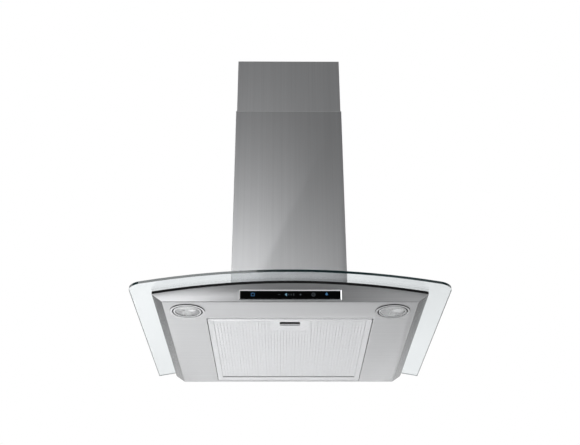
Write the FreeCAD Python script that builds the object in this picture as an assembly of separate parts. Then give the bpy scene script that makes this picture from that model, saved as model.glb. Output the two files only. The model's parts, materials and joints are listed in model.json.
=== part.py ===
import FreeCAD, Part
import math
import os

from FreeCAD import Vector

# Wall mount range hood with an arched glass canopy, in millimetres.
# X points right, Y points into the wall (the wall plane is y = 0), Z points up.
# The pieces are drawn with z = 0 at the steel underside and are saved with the
# origin in the middle of the four wall fixing holes.

# Sheet metal and clearances
sheet = 1.0
cover_sheet = 0.8
seat_gap = 0.3
running_gap = 0.05
slide_gap = 1.0
overrun = 2.0

# Glass canopy
glass_width = 598.0
glass_depth = 510.0
glass_thickness = 5.0
glass_arch_rise = 28.3
glass_apex_height = 42.0
glass_corner_radius = 22.0
glass_wall_gap = 2.0
glass_notch_gap = 2.0

# Steel canopy body under the glass
glass_side_overhang = 38.5
glass_front_overhang = 43.0
facet_run = 21.5
rim_overhang = 4.4
canopy_flange = 30.0
hem_height = 9.0

# Black seal between the body and the glass
seal_height = 5.4
seal_width = 8.0
seal_inset = 0.8

# Grease filter cassette
filter_side_distance = 78.2
filter_front_distance = 84.8
filter_back_distance = 14.2
filter_height = 9.0
filter_gap = 1.2
filter_side_border = 11.0
filter_front_border = 8.0
filter_back_border = 21.0
filter_top_border = 8.0
filter_sheet = 1.0
filter_corner_radius = 4.0
tab_width = 30.0
tab_reach = 9.0
tab_thickness = 2.0
tab_spacing = 200.0

# Filter mesh layers
face_mesh_thickness = 0.6
top_mesh_thickness = 0.6
mesh_slot_width = 1.6
mesh_slot_pitch = 9.6
mesh_slot_land = 9.0
mesh_slot_rows = 9
core_mesh_thickness = 0.5
core_pleat_pitch = 16.0

# Latch in the front edge of the filter
latch_zone_width = 80.0
finger_slot_width = 40.0
finger_slot_depth = 20.0
finger_slot_setback = 6.0
finger_slot_lip = 3.0
latch_width = 56.0
latch_thickness = 1.5
latch_travel = 5.0
latch_bar = 4.0
latch_tail = 8.0
latch_tail_height = 3.8
tongue_width = 22.0
latch_spring_radius = 1.7
latch_spring_wire = 0.4
latch_spring_turns = 6
latch_wire_sides = 6
latch_spring_spacing = 36.0

# Spot lamps
lamp_side_distance = 43.0
lamp_front_distance = 44.4
lamp_bezel_radius = 33.5
lamp_hole_radius = 30.2
lamp_bezel_bore = 28.8
lamp_bezel_proud = 1.6
lamp_collar_height = 8.0
lamp_ring_radius = 27.0
lamp_lens_radius = 23.4
lamp_lens_thickness = 2.0
lamp_can_height = 17.0
lamp_can_flange = 6.0
lamp_reflector_neck = 6.0
lamp_holder_height = 3.0
lamp_bulb_radius = 3.6

# Touch control strip in the fascia
control_width = 192.4
control_height = 20.0
control_rise = 3.7
control_bar = 1.5
control_proud = 0.8
control_glass_thickness = 2.4
control_housing_depth = 12.0
control_housing_wall = 1.5
control_board_thickness = 1.6
control_board_margin = 3.0
touch_pad_width = 9.0
touch_pad_count = 6

# Motor box that hangs on the wall and carries everything
box_side_clearance = 4.4
box_front_clearance = 9.4
box_top_height = 330.0
box_flange = 14.0
box_opening_corner = 10.0
box_front_return = 12.0
fixing_height = 190.0
fixing_side_distance = 23.0
fixing_spacing_z = 160.0
fixing_hole_radius = 4.0

# Blower: double inlet centrifugal fan with its axle along X
fan_wall_distance = 84.0
fan_height = 150.0
scroll_side_distance = 63.0
scroll_wall = 2.0
scroll_start_radius = 74.0
scroll_growth = 12.0
inlet_radius = 52.0
inlet_lip = 5.0
impeller_radius = 65.0
impeller_side_gap = 10.0
blade_count = 30
blade_length = 12.0
blade_thickness = 1.2
blade_angle = 35.0
impeller_ring = 2.0
hub_radius = 11.0
hub_length = 14.0
shaft_radius = 4.0
motor_radius = 34.0
motor_disc_gap = 3.0
motor_arm_width = 12.0
motor_arm_thickness = 2.0
motor_ring_width = 10.0

# Electrical pieces in the motor box
module_width = 34.0
module_depth = 80.0
module_height = 54.0
module_wall = 2.0
capacitor_radius = 14.0
capacitor_length = 52.0
gland_radius = 8.0
gland_bore = 4.0
gland_height = 16.0

# Duct collar with two back-draught flaps
duct_radius = 74.5
collar_wall = 2.0
collar_height = 55.0
collar_flange = 13.0
collar_flange_thickness = 1.5
collar_front_distance = 17.5
flap_seat_height = 15.0
flap_seat_width = 2.5
flap_thickness = 1.5
flap_rim_gap = 1.0
flap_pin_radius = 1.5
flap_pin_offset = 5.0
flap_barrel_radius = 3.0
flap_barrel_inset = 7.0

# Chimney covers and their wall bracket
chimney_width = 250.0
chimney_depth = 250.0
chimney_step_height = 585.0
chimney_top_height = 734.0
chimney_upper_length = 420.0
bracket_height = 30.0
bracket_ear = 45.0
bracket_sheet = 1.5
bracket_drop = 25.0
bracket_hole_radius = 3.0
bracket_hole_spacing = 160.0
clip_height = 24.0
clip_rise = 30.0
clip_width = 40.0

# Fasteners
glass_screw_radius = 2.5
glass_screw_head_radius = 8.0
glass_screw_head_height = 3.0
glass_screw_inset = 20.5
glass_screw_back = 42.0
glass_bush_radius = 7.0
glass_hole_radius = 4.2
nut_radius = 4.5
nut_height = 3.5
small_screw_radius = 1.8
small_screw_head_radius = 3.6
small_screw_head_height = 1.6
small_screw_length = 5.0

# Values worked out from the sizes above
chimney_half = chimney_width / 2
upper_half = chimney_half - cover_sheet - slide_gap
upper_front_y = -(chimney_depth - cover_sheet - slide_gap)
box_half = upper_half - cover_sheet - box_side_clearance
box_depth = -upper_front_y - cover_sheet - box_front_clearance
chimney_return = chimney_half - cover_sheet - box_half - slide_gap
glass_half = glass_width / 2
glass_arch_radius = (glass_half ** 2 + glass_arch_rise ** 2) / (2 * glass_arch_rise)
rim_half = glass_half - glass_side_overhang
rim_width = 2 * rim_half
panel_half = rim_half - facet_run
panel_depth = glass_depth - glass_front_overhang
body_arch_radius = glass_arch_radius - seal_height
arch_centre_z = glass_apex_height - glass_arch_radius
body_apex_height = glass_apex_height - seal_height
rim_height = arch_centre_z + math.sqrt(body_arch_radius ** 2 - rim_half ** 2)
side_slope = facet_run / rim_height
front_slope = rim_overhang / body_apex_height
fascia_tilt = math.degrees(math.atan(front_slope))
plate_top_radius = body_arch_radius + sheet
glass_top_radius = glass_arch_radius + glass_thickness
filter_half = panel_half - filter_side_distance
filter_width = 2 * filter_half
filter_depth = panel_depth - filter_front_distance - filter_back_distance
filter_back_y = -filter_back_distance
filter_front_y = filter_back_y - filter_depth
lamp_x = panel_half - lamp_side_distance
lamp_y = lamp_front_distance - panel_depth
fixing_spacing_x = 2 * (box_half - fixing_side_distance)
fan_y = -fan_wall_distance
scroll_width = 2 * (box_half - scroll_side_distance)
impeller_width = scroll_width - 2 * impeller_side_gap
motor_length = scroll_width / 2 + scroll_wall - impeller_ring / 2 - motor_disc_gap
duct_y = collar_front_distance + collar_flange + duct_radius - box_depth
latch_spring_length = 3 * latch_travel
latch_zone_depth = finger_slot_setback + finger_slot_depth + latch_tail + latch_spring_length + filter_sheet
sky_height = chimney_top_height


def box(x0, x1, y0, y1, z0, z1):
    """Block between two corners."""
    return Part.makeBox(x1 - x0, y1 - y0, z1 - z0, Vector(x0, y0, z0))


def rod(radius, start, end):
    """Round bar from one point to another."""
    along = end - start
    return Part.makeCylinder(radius, along.Length, start, along)


def tube(outer, inner, start, end):
    return rod(outer, start, end).cut(rod(inner, start, end))


def polygon(points):
    return Part.Face(Part.makePolygon(points + [points[0]]))


def turned(points, x, y):
    """Body of revolution about a vertical line; points are (radius, z)."""
    profile = polygon([Vector(radius, 0, z) for radius, z in points])
    solid = profile.revolve(Vector(0, 0, 0), Vector(0, 0, 1), 360)
    solid.translate(Vector(x, y, 0))
    return solid


def rounded_rectangle(x0, x1, y0, y1, z0, z1, radius):
    """Block with its four upright edges rounded."""
    block = box(x0, x1, y0, y1, z0, z1)
    upright = [edge for edge in block.Edges if abs(edge.tangentAt(edge.FirstParameter).z) > 0.5]
    return block.makeFillet(radius, upright)


def joined(shapes):
    return shapes[0].multiFuse(shapes[1:]).removeSplitter()


def mirrored(shape):
    """The same piece on the other side of the centre plane."""
    return shape.mirror(Vector(0, 0, 0), Vector(1, 0, 0))


def save(name, shape):
    """Write one piece, moved so that the origin is in the middle of the fixing holes."""
    placed = shape.copy()
    placed.translate(Vector(0, 0, -fixing_height))
    placed.exportStep(os.path.join("parts", name + ".step"))


def arch_cylinder(radius, y0, y1):
    """Everything under an arch of the glass's curve."""
    return Part.makeCylinder(radius, y1 - y0, Vector(0, y0, arch_centre_z), Vector(0, 1, 0))


def arch_z(radius, x):
    return arch_centre_z + math.sqrt(radius ** 2 - x ** 2)


def arch_sheet(inner, outer, half_width, y0, y1):
    """Curved sheet between two arch radii, cut square in plan."""
    ring = arch_cylinder(outer, y0, y1).cut(arch_cylinder(inner, y0 - overrun, y1 + overrun))
    low = arch_z(inner, half_width) - overrun
    return ring.common(box(-half_width, half_width, y0, y1, low, sky_height))


def on_arch(shape, x):
    """Tilt a piece drawn upright on the centre line so that it stands on the arch at x."""
    moved = shape.copy()
    angle = math.degrees(math.asin(x / glass_arch_radius))
    moved.rotate(Vector(0, 0, arch_centre_z), Vector(0, 1, 0), angle)
    return moved


def on_fascia(shape):
    """Place a piece drawn against an upright plane on the slanted fascia."""
    moved = shape.copy()
    moved.rotate(Vector(0, 0, 0), Vector(1, 0, 0), fascia_tilt)
    moved.translate(Vector(0, -panel_depth, 0))
    return moved


def body_section(inset):
    """Cross-section of the body seen from the front, shrunk by inset all round."""
    stretch = math.sqrt(1 + side_slope ** 2)
    foot = panel_half - inset * stretch
    radius = body_arch_radius - inset
    a = 1 + side_slope ** 2
    b = foot * side_slope - arch_centre_z
    c = foot ** 2 + arch_centre_z ** 2 - radius ** 2
    top_z = (math.sqrt(b ** 2 - a * c) - b) / a
    top_x = foot + side_slope * top_z
    low_x = foot + side_slope * inset
    right_low = Vector(low_x, 0, inset)
    right_top = Vector(top_x, 0, top_z)
    left_low = Vector(-low_x, 0, inset)
    left_top = Vector(-top_x, 0, top_z)
    crown = Part.Arc(right_top, Vector(0, 0, arch_centre_z + radius), left_top).toShape()
    edges = [
        Part.makeLine(left_low, right_low),
        Part.makeLine(right_low, right_top),
        crown,
        Part.makeLine(left_top, left_low),
    ]
    return Part.Face(Part.Wire(edges))


def side_section(inset, back_inset):
    """Cross-section seen from the side: slanted fascia in front, wall behind."""
    stretch = math.sqrt(1 + front_slope ** 2)
    front = -panel_depth + inset * stretch
    top = glass_apex_height + glass_thickness
    points = [
        Vector(0, front - front_slope * inset, inset),
        Vector(0, -back_inset, inset),
        Vector(0, -back_inset, top),
        Vector(0, front - front_slope * top, top),
    ]
    return polygon(points)


def body_solid(inset):
    """The body's outer form, or its inside when inset by the sheet."""
    reach = panel_depth + rim_overhang + overrun
    across = body_section(inset)
    across.translate(Vector(0, -reach, 0))
    long = across.extrude(Vector(0, reach, 0))
    along = side_section(inset, inset)
    along.translate(Vector(-rim_half - overrun, 0, 0))
    wide = along.extrude(Vector(rim_width + 2 * overrun, 0, 0))
    return long.common(wide)


def front_slab(inset):
    """Everything behind the fascia's plane, carried up past the glass."""
    along = side_section(inset, 0)
    along.translate(Vector(-rim_half - overrun, 0, 0))
    return along.extrude(Vector(rim_width + 2 * overrun, 0, 0))


def filter_outline(grow, z0, z1):
    return box(
        -filter_half - grow,
        filter_half + grow,
        filter_front_y - grow,
        filter_back_y + grow,
        z0,
        z1,
    )


def canopy_panel():
    """Folded steel shell: underside, side facets, fascia, wall flange and top flange."""
    shell = body_solid(0).cut(body_solid(sheet))
    inner_half = rim_half - canopy_flange
    mouth = box(
        -inner_half,
        inner_half,
        -panel_depth + canopy_flange,
        -canopy_flange,
        arch_z(body_arch_radius, rim_half) - overrun,
        glass_apex_height,
    )
    hem = filter_outline(filter_gap + sheet, 0, hem_height)
    hem = hem.cut(filter_outline(filter_gap, -overrun, hem_height + overrun))
    rear = filter_back_y - tab_reach
    hem = hem.cut(box(-panel_half, panel_half, rear, 0, 0, hem_height + overrun))
    shell = shell.cut(mouth).fuse(hem)
    shell = shell.cut(filter_outline(filter_gap, -overrun, sheet + overrun))
    for x in (-lamp_x, lamp_x):
        foot = Vector(x, lamp_y, -overrun)
        shell = shell.cut(rod(lamp_hole_radius, foot, Vector(x, lamp_y, sheet + overrun)))
    shell = shell.cut(on_fascia(control_window(running_gap)))
    for drill in glass_screw_holes(glass_screw_radius + running_gap) + box_screw_holes():
        shell = shell.cut(drill)
    return shell.removeSplitter()


def control_window(grow):
    """Hole in the fascia for the control strip's inner collar."""
    half = control_width / 2 - control_bar + grow
    low = control_rise + control_bar - grow
    high = control_rise + control_height - control_bar + grow
    return box(-half, half, -overrun, sheet + overrun, low, high)


def glass_screw_places():
    """Places of the glass's four screws: x on the arch and y."""
    x = rim_half - glass_screw_inset
    front = -panel_depth + glass_screw_back
    return [(-x, front), (x, front), (-x, -glass_screw_back), (x, -glass_screw_back)]


def glass_screw_holes(radius):
    low = body_apex_height - sheet - nut_height - overrun
    high = glass_apex_height + glass_thickness + overrun
    return [on_arch(rod(radius, Vector(0, y, low), Vector(0, y, high)), x) for x, y in glass_screw_places()]


def top_plate():
    """Curved plate that closes the body under the glass and carries the motor box."""
    half = rim_half - seal_inset - seal_width - seat_gap
    front = -panel_depth + seal_inset + seal_width + seat_gap
    plate = arch_sheet(body_arch_radius, plate_top_radius, half, front, 0)
    opening_half = box_half - box_flange
    opening = rounded_rectangle(
        -opening_half,
        opening_half,
        -box_depth + box_flange,
        -box_flange,
        0,
        sky_height,
        box_opening_corner,
    )
    plate = plate.cut(opening)
    for drill in glass_screw_holes(glass_screw_radius + running_gap):
        plate = plate.cut(drill)
    for drill in box_screw_holes():
        plate = plate.cut(drill)
    return plate


def canopy_seal():
    """Black rubber frame round the front and sides, pressed between body and glass."""
    half = rim_half - seal_inset
    reach = panel_depth + rim_overhang + overrun
    strip = arch_sheet(body_arch_radius, glass_arch_radius, half, -reach, 0)
    strip = strip.common(front_slab(seal_inset))
    inner = half - seal_width
    hollow = box(-inner, inner, -panel_depth + seal_inset + seal_width, overrun, 0, sky_height)
    return strip.cut(hollow)


def glass_canopy():
    """Arched clear glass with rounded front corners and a notch for the motor box."""
    front = -glass_depth
    sheet_of_glass = arch_sheet(glass_arch_radius, glass_top_radius, glass_half + overrun, front - overrun, 0)
    outline = box(-glass_half, glass_half, front, -glass_wall_gap, 0, sky_height)
    corners = [edge for edge in outline.Edges if edge.BoundBox.YMax < front + overrun]
    corners = [edge for edge in corners if edge.BoundBox.ZLength > glass_thickness]
    sheet_of_glass = sheet_of_glass.common(outline.makeFillet(glass_corner_radius, corners))
    notch_half = box_half + glass_notch_gap
    notch = box(-notch_half, notch_half, -box_depth - glass_notch_gap, overrun, 0, sky_height)
    sheet_of_glass = sheet_of_glass.cut(notch)
    for drill in glass_screw_holes(glass_hole_radius):
        sheet_of_glass = sheet_of_glass.cut(drill)
    return sheet_of_glass


def glass_screws():
    """Four dome headed screws through glass, plate and flange."""
    top = glass_apex_height + glass_thickness
    foot = body_apex_height - sheet - nut_height
    shapes = []
    for x, y in glass_screw_places():
        shank = rod(glass_screw_radius, Vector(0, y, foot), Vector(0, y, top))
        rise = glass_screw_head_height
        ball = (glass_screw_head_radius ** 2 + rise ** 2) / (2 * rise)
        dome = Part.makeSphere(ball, Vector(0, y, top + rise - ball))
        dome = dome.common(box(-ball, ball, y - ball, y + ball, top, top + rise + overrun))
        shapes.append(on_arch(shank.fuse(dome), x))
    return Part.makeCompound(shapes)


def glass_bushes():
    """Soft bushes that keep the screws off the glass."""
    plate_z = body_apex_height + sheet
    shapes = []
    for x, y in glass_screw_places():
        flange = rod(glass_bush_radius, Vector(0, y, plate_z), Vector(0, y, glass_apex_height - running_gap))
        collar_top = glass_apex_height + glass_thickness - seat_gap
        collar = rod(glass_hole_radius - running_gap, Vector(0, y, plate_z), Vector(0, y, collar_top))
        bore = rod(glass_screw_radius + running_gap, Vector(0, y, 0), Vector(0, y, sky_height))
        shapes.append(on_arch(flange.fuse(collar).cut(bore), x))
    return Part.makeCompound(shapes)


def glass_nuts():
    top = body_apex_height - sheet - running_gap
    shapes = []
    for x, y in glass_screw_places():
        corners = []
        for index in range(6):
            angle = math.radians(60 * index)
            corner = Vector(nut_radius * math.cos(angle), nut_radius * math.sin(angle), top - nut_height)
            corners.append(corner + Vector(0, y, 0))
        nut = polygon(corners).extrude(Vector(0, 0, nut_height))
        bore = rod(glass_screw_radius + running_gap, Vector(0, y, 0), Vector(0, y, sky_height))
        shapes.append(on_arch(nut.cut(bore), x))
    return Part.makeCompound(shapes)


def box_screw_places():
    """Six screws through the motor box's bottom flange."""
    x = box_half - sheet - (box_flange - sheet) / 2
    front = -box_depth + sheet + (box_flange - sheet) / 2
    back = -sheet - (box_flange - sheet) / 2
    middle = (front + back) / 2
    return [(side * x, y) for side in (-1, 1) for y in (front, middle, back)]


def box_screw_holes():
    low = body_apex_height - small_screw_length
    high = glass_apex_height + sheet
    radius = small_screw_radius + running_gap
    return [on_arch(rod(radius, Vector(0, y, low), Vector(0, y, high)), x) for x, y in box_screw_places()]


def box_screws():
    seat = body_apex_height + 2 * sheet
    shapes = []
    for x, y in box_screw_places():
        head = rod(small_screw_head_radius, Vector(0, y, seat), Vector(0, y, seat + small_screw_head_height))
        shank = rod(small_screw_radius, Vector(0, y, seat - small_screw_length), Vector(0, y, seat))
        shapes.append(on_arch(head.fuse(shank), x))
    return Part.makeCompound(shapes)


def box_floor(rise):
    """Everything under the motor box's foot, or under its inside when raised by the sheet."""
    return arch_cylinder(plate_top_radius + rise, -box_depth - overrun, overrun)


def motor_box():
    """Steel body that screws to the wall and stands on the top plate: back, sides and foot flange."""
    high = box_top_height - sheet
    outer = box(-box_half, box_half, -box_depth, 0, 0, high).cut(box_floor(0))
    inner_half = box_half - sheet
    inner = box(-inner_half, inner_half, -box_depth - overrun, -sheet, 0, high + overrun)
    inner = inner.cut(box_floor(sheet))
    mouth_half = box_half - box_flange
    mouth = rounded_rectangle(
        -mouth_half,
        mouth_half,
        -box_depth + box_flange,
        -box_flange,
        0,
        fan_height,
        box_opening_corner,
    )
    shell = outer.cut(inner).cut(mouth)
    cover_front = -box_depth + sheet
    front = box(-box_half - overrun, box_half + overrun, -box_depth - overrun, cover_front, 0, high + overrun)
    shell = shell.cut(front.cut(box_floor(sheet)))
    for side in (-1, 1):
        near = side * inner_half
        far = side * (inner_half - box_front_return)
        edge = box(min(near, far), max(near, far), cover_front, cover_front + sheet, 0, high)
        shell = shell.fuse(edge.cut(box_floor(sheet)))
    for x in (-fixing_spacing_x / 2, fixing_spacing_x / 2):
        for z in (fixing_height - fixing_spacing_z / 2, fixing_height + fixing_spacing_z / 2):
            hole = rod(fixing_hole_radius, Vector(x, -2 * sheet, z), Vector(x, overrun, z))
            shell = shell.cut(hole)
    for drill in box_screw_holes() + cover_screw_holes():
        shell = shell.cut(drill)
    return shell.removeSplitter()


def box_top():
    """Top plate of the motor box, with the duct's opening and the hole for the mains inlet."""
    low = box_top_height - sheet
    plate = box(-box_half, box_half, -box_depth, 0, low, box_top_height)
    x, y = gland_place()
    plate = plate.cut(rod(duct_radius - collar_wall, Vector(0, duct_y, 0), Vector(0, duct_y, sky_height)))
    return plate.cut(rod(gland_radius * 3 / 4 + running_gap, Vector(x, y, 0), Vector(x, y, sky_height)))


def box_cover():
    """Removable front of the motor box."""
    front = box(-box_half, box_half, -box_depth, -box_depth + sheet, 0, box_top_height - sheet)
    front = front.cut(box_floor(sheet))
    for hole in cover_screw_holes():
        front = front.cut(hole)
    return front


def cover_screw_places():
    """Four screws that hold the cover to the returns of the box's sides: x and z."""
    x = box_half - sheet - box_front_return / 2
    low = glass_apex_height + 2 * box_flange
    high = box_top_height - 2 * box_flange
    return [(side * x, z) for side in (-1, 1) for z in (low, high)]


def cover_screw_holes():
    start = -box_depth - overrun
    end = -box_depth + small_screw_length
    radius = small_screw_radius + running_gap
    return [rod(radius, Vector(x, start, z), Vector(x, end, z)) for x, z in cover_screw_places()]


def cover_screws():
    seat = -box_depth
    shapes = []
    for x, z in cover_screw_places():
        head = rod(small_screw_head_radius, Vector(x, seat - small_screw_head_height, z), Vector(x, seat, z))
        shank = rod(small_screw_radius, Vector(x, seat, z), Vector(x, seat + small_screw_length, z))
        shapes.append(head.fuse(shank))
    return Part.makeCompound(shapes)


def scroll_centre():
    return Vector(0, fan_y, fan_height)


def scroll_face(grow):
    """Spiral of three quarter arcs that opens into a straight outlet."""
    half = scroll_growth / 2
    r1 = scroll_start_radius + grow
    r2 = r1 + scroll_growth
    r3 = r2 + scroll_growth
    top = box_top_height - sheet - seat_gap - fan_height
    slant = math.sqrt(1 / 2)
    corner_1 = Vector(0, half, -half)
    corner_2 = Vector(0, -half, -half)
    corner_3 = Vector(0, -half, half)
    left = -half - r3
    tongue = Vector(0, half + grow, -half + math.sqrt(r1 ** 2 - grow ** 2))
    start = Vector(0, left, top)
    left_low = Vector(0, left, half)
    bottom = corner_3 + Vector(0, 0, -r3)
    right = corner_2 + Vector(0, r2, 0)
    end = Vector(0, half + grow, top)
    edges = [
        Part.makeLine(start, left_low),
        Part.Arc(left_low, corner_3 + Vector(0, -r3 * slant, -r3 * slant), bottom).toShape(),
        Part.Arc(bottom, corner_2 + Vector(0, r2 * slant, -r2 * slant), right).toShape(),
        Part.Arc(right, corner_1 + Vector(0, r1 * slant, r1 * slant), tongue).toShape(),
        Part.makeLine(tongue, end),
        Part.makeLine(end, start),
    ]
    face = Part.Face(Part.Wire(edges))
    face.translate(scroll_centre())
    return face


def scroll_wrap():
    """Spiral wall of the fan's housing, open at the outlet."""
    half = scroll_width / 2
    outer = scroll_face(scroll_wall)
    outer.translate(Vector(-half, 0, 0))
    inner = scroll_face(0)
    inner.translate(Vector(-half - overrun, 0, 0))
    hollow = inner.extrude(Vector(scroll_width + 2 * overrun, 0, 0))
    return outer.extrude(Vector(scroll_width, 0, 0)).cut(hollow)


def scroll_side():
    """Right side plate of the fan's housing, with a lip round the inlet."""
    half = scroll_width / 2
    plate = scroll_face(scroll_wall)
    plate.translate(Vector(half, 0, 0))
    centre = scroll_centre()
    side = Vector(half + scroll_wall, 0, 0)
    inlet = rod(inlet_radius, centre, centre + side + Vector(overrun, 0, 0))
    lip_start = centre + side - Vector(inlet_lip, 0, 0)
    lip = tube(inlet_radius + scroll_wall, inlet_radius, lip_start, centre + side)
    return plate.extrude(Vector(scroll_wall, 0, 0)).cut(inlet).fuse(lip)


def impeller():
    """Drum of forward curved blades between three rims."""
    centre = scroll_centre()
    half = Vector(impeller_width / 2, 0, 0)
    ring = Vector(impeller_ring, 0, 0)
    inner = impeller_radius - blade_length
    pieces = [
        tube(impeller_radius, inner, centre - half, centre - half + ring),
        tube(impeller_radius, inner, centre + half - ring, centre + half),
        tube(impeller_radius, inner, centre - ring / 2, centre + ring / 2),
    ]
    middle = impeller_radius - blade_length / 2
    reach = blade_length / 2 - blade_thickness
    blade = box(-half.x, half.x, -reach, reach, -blade_thickness / 2, blade_thickness / 2)
    blade.rotate(Vector(0, 0, 0), Vector(1, 0, 0), blade_angle)
    blade.translate(Vector(0, middle, 0) + centre)
    for index in range(blade_count):
        turned_blade = blade.copy()
        turned_blade.rotate(centre, Vector(1, 0, 0), 360 * index / blade_count)
        pieces.append(turned_blade)
    return joined(pieces)


def impeller_disc():
    """Disc and hub that carry the drum on its axle."""
    centre = scroll_centre()
    ring = Vector(impeller_ring, 0, 0)
    disc = rod(impeller_radius - blade_length, centre - ring / 2, centre + ring / 2)
    hub = rod(hub_radius, centre - Vector(hub_length, 0, 0), centre)
    bore = rod(shaft_radius, centre - Vector(hub_length + overrun, 0, 0), centre + ring)
    return joined([disc, hub]).cut(bore)


def motor_face():
    """Point on the fan's axle where the motor's inner end lies."""
    return scroll_centre() + Vector(impeller_ring / 2 + motor_disc_gap, 0, 0)


def motor():
    """Round motor inside the right half of the drum, with a bore for its axle."""
    start = motor_face()
    body = rod(motor_radius, start, start + Vector(motor_length, 0, 0))
    rim = [edge for edge in body.Edges if edge.Closed]
    body = body.makeFillet(blade_thickness * 2, rim)
    bore_end = start + Vector(motor_length / 2, 0, 0)
    bore = rod(shaft_radius + running_gap, start - Vector(overrun, 0, 0), bore_end)
    return body.cut(bore)


def motor_shaft():
    start = scroll_centre() - Vector(hub_length, 0, 0)
    end = motor_face() + Vector(motor_length / 2 - seat_gap, 0, 0)
    return rod(shaft_radius, start, end)


def motor_bracket():
    """Ring on the scroll's right side with three arms to the motor."""
    start = scroll_centre() + Vector(scroll_width / 2 + scroll_wall, 0, 0)
    thick = Vector(motor_arm_thickness, 0, 0)
    ring = tube(inlet_radius + motor_ring_width, inlet_radius, start, start + thick)
    clamp_radius = motor_radius + scroll_wall
    face = motor_face()
    clamp_end = face + Vector(motor_length - 3 * running_gap, 0, 0)
    clamp = rod(clamp_radius, start, clamp_end + thick)
    pieces = [ring, clamp]
    for index in range(3):
        arm = box(
            0,
            motor_arm_thickness,
            motor_radius,
            inlet_radius + scroll_wall,
            -motor_arm_width / 2,
            motor_arm_width / 2,
        )
        arm.rotate(Vector(0, 0, 0), Vector(1, 0, 0), 120 * index + 90)
        arm.translate(start)
        pieces.append(arm)
    bracket = joined(pieces)
    return bracket.cut(rod(motor_radius + running_gap, face, face + Vector(motor_length, 0, 0)))


def capacitor():
    """Run capacitor standing against the motor box's left wall."""
    x = -box_half + sheet + capacitor_radius
    y = -box_depth / 2
    top = box_top_height - sheet
    body = rod(capacitor_radius, Vector(x, y, top - capacitor_length), Vector(x, y, top))
    return body.makeFillet(scroll_wall, [edge for edge in body.Edges if edge.Closed])


def module_corners():
    """Low and high corners of the power module in the motor box's right top corner."""
    x1 = box_half - sheet
    y1 = -box_flange - module_depth / 2
    z1 = box_top_height - sheet
    return x1 - module_width, x1, y1 - module_depth, y1, z1 - module_height, z1


def module_housing():
    x0, x1, y0, y1, z0, z1 = module_corners()
    shell = box(x0, x1, y0, y1, z0, z1)
    wall = module_wall
    return shell.cut(box(x0 + wall, x1, y0 + wall, y1 - wall, z0 + wall, z1 - wall))


def module_board():
    """Power board that lies on the module's inner face, with its transformer."""
    x0, x1, y0, y1, z0, z1 = module_corners()
    wall = module_wall
    board = box(x0 + wall, x0 + 2 * wall, y0 + 2 * wall, y1 - 2 * wall, z0 + 2 * wall, z1 - 2 * wall)
    middle = (y0 + y1) / 2
    block = box(x0 + 2 * wall, x1 - 3 * wall, middle, y1 - 4 * wall, z0 + 4 * wall, z1 - 4 * wall)
    return board.fuse(block)


def gland_place():
    """Centre of the mains inlet in the motor box's top."""
    return box_half - module_width / 2, -module_width / 2


def cable_gland():
    """Strain relief for the mains lead, with its nut inside the box."""
    x, y = gland_place()
    top = box_top_height
    stem_radius = gland_radius * 3 / 4
    head = [
        (gland_bore, top),
        (gland_radius, top),
        (gland_radius, top + gland_height / 2),
        (stem_radius, top + gland_height),
        (gland_bore, top + gland_height),
    ]
    stem = tube(stem_radius, gland_bore, Vector(x, y, top - gland_height / 2), Vector(x, y, top))
    low = top - sheet
    nut = tube(gland_radius, stem_radius, Vector(x, y, low - gland_height / 4), Vector(x, y, low))
    return joined([turned(head, x, y), stem, nut])


def duct_collar():
    """Round spigot on the motor box with a flange and a seat for the flaps."""
    low = box_top_height
    seat = low + flap_seat_height
    inner = duct_radius - collar_wall
    points = [
        (inner, low),
        (duct_radius + collar_flange, low),
        (duct_radius + collar_flange, low + collar_flange_thickness),
        (duct_radius, low + collar_flange_thickness),
        (duct_radius, low + collar_height),
        (inner, low + collar_height),
        (inner, seat),
        (inner - flap_seat_width, seat),
        (inner - flap_seat_width, seat - flap_seat_width),
        (inner, seat - 2 * flap_seat_width),
    ]
    collar = turned(points, 0, duct_y)
    for y in flap_pin_places():
        hole = rod(
            flap_pin_radius + running_gap,
            Vector(-duct_radius - overrun, y, flap_pin_height()),
            Vector(duct_radius + overrun, y, flap_pin_height()),
        )
        collar = collar.cut(hole)
    for x, y in collar_screw_places():
        low_end = Vector(x, y, low - overrun)
        collar = collar.cut(rod(small_screw_radius + running_gap, low_end, Vector(x, y, low + overrun)))
    return collar


def flap_pin_height():
    return box_top_height + flap_seat_height + seat_gap + flap_thickness / 2


def flap_pin_places():
    return [duct_y - flap_pin_offset, duct_y + flap_pin_offset]


def collar_screw_places():
    """Four screws through the collar's flange."""
    radius = duct_radius + collar_flange / 2
    places = []
    for index in range(4):
        angle = math.radians(45 + 90 * index)
        places.append((radius * math.cos(angle), duct_y + radius * math.sin(angle)))
    return places


def collar_screws():
    seat = box_top_height + collar_flange_thickness
    shapes = []
    for x, y in collar_screw_places():
        head = rod(small_screw_head_radius, Vector(x, y, seat), Vector(x, y, seat + small_screw_head_height))
        shank = rod(small_screw_radius, Vector(x, y, box_top_height), Vector(x, y, seat))
        shapes.append(head.fuse(shank))
    return Part.makeCompound(shapes)


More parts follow.
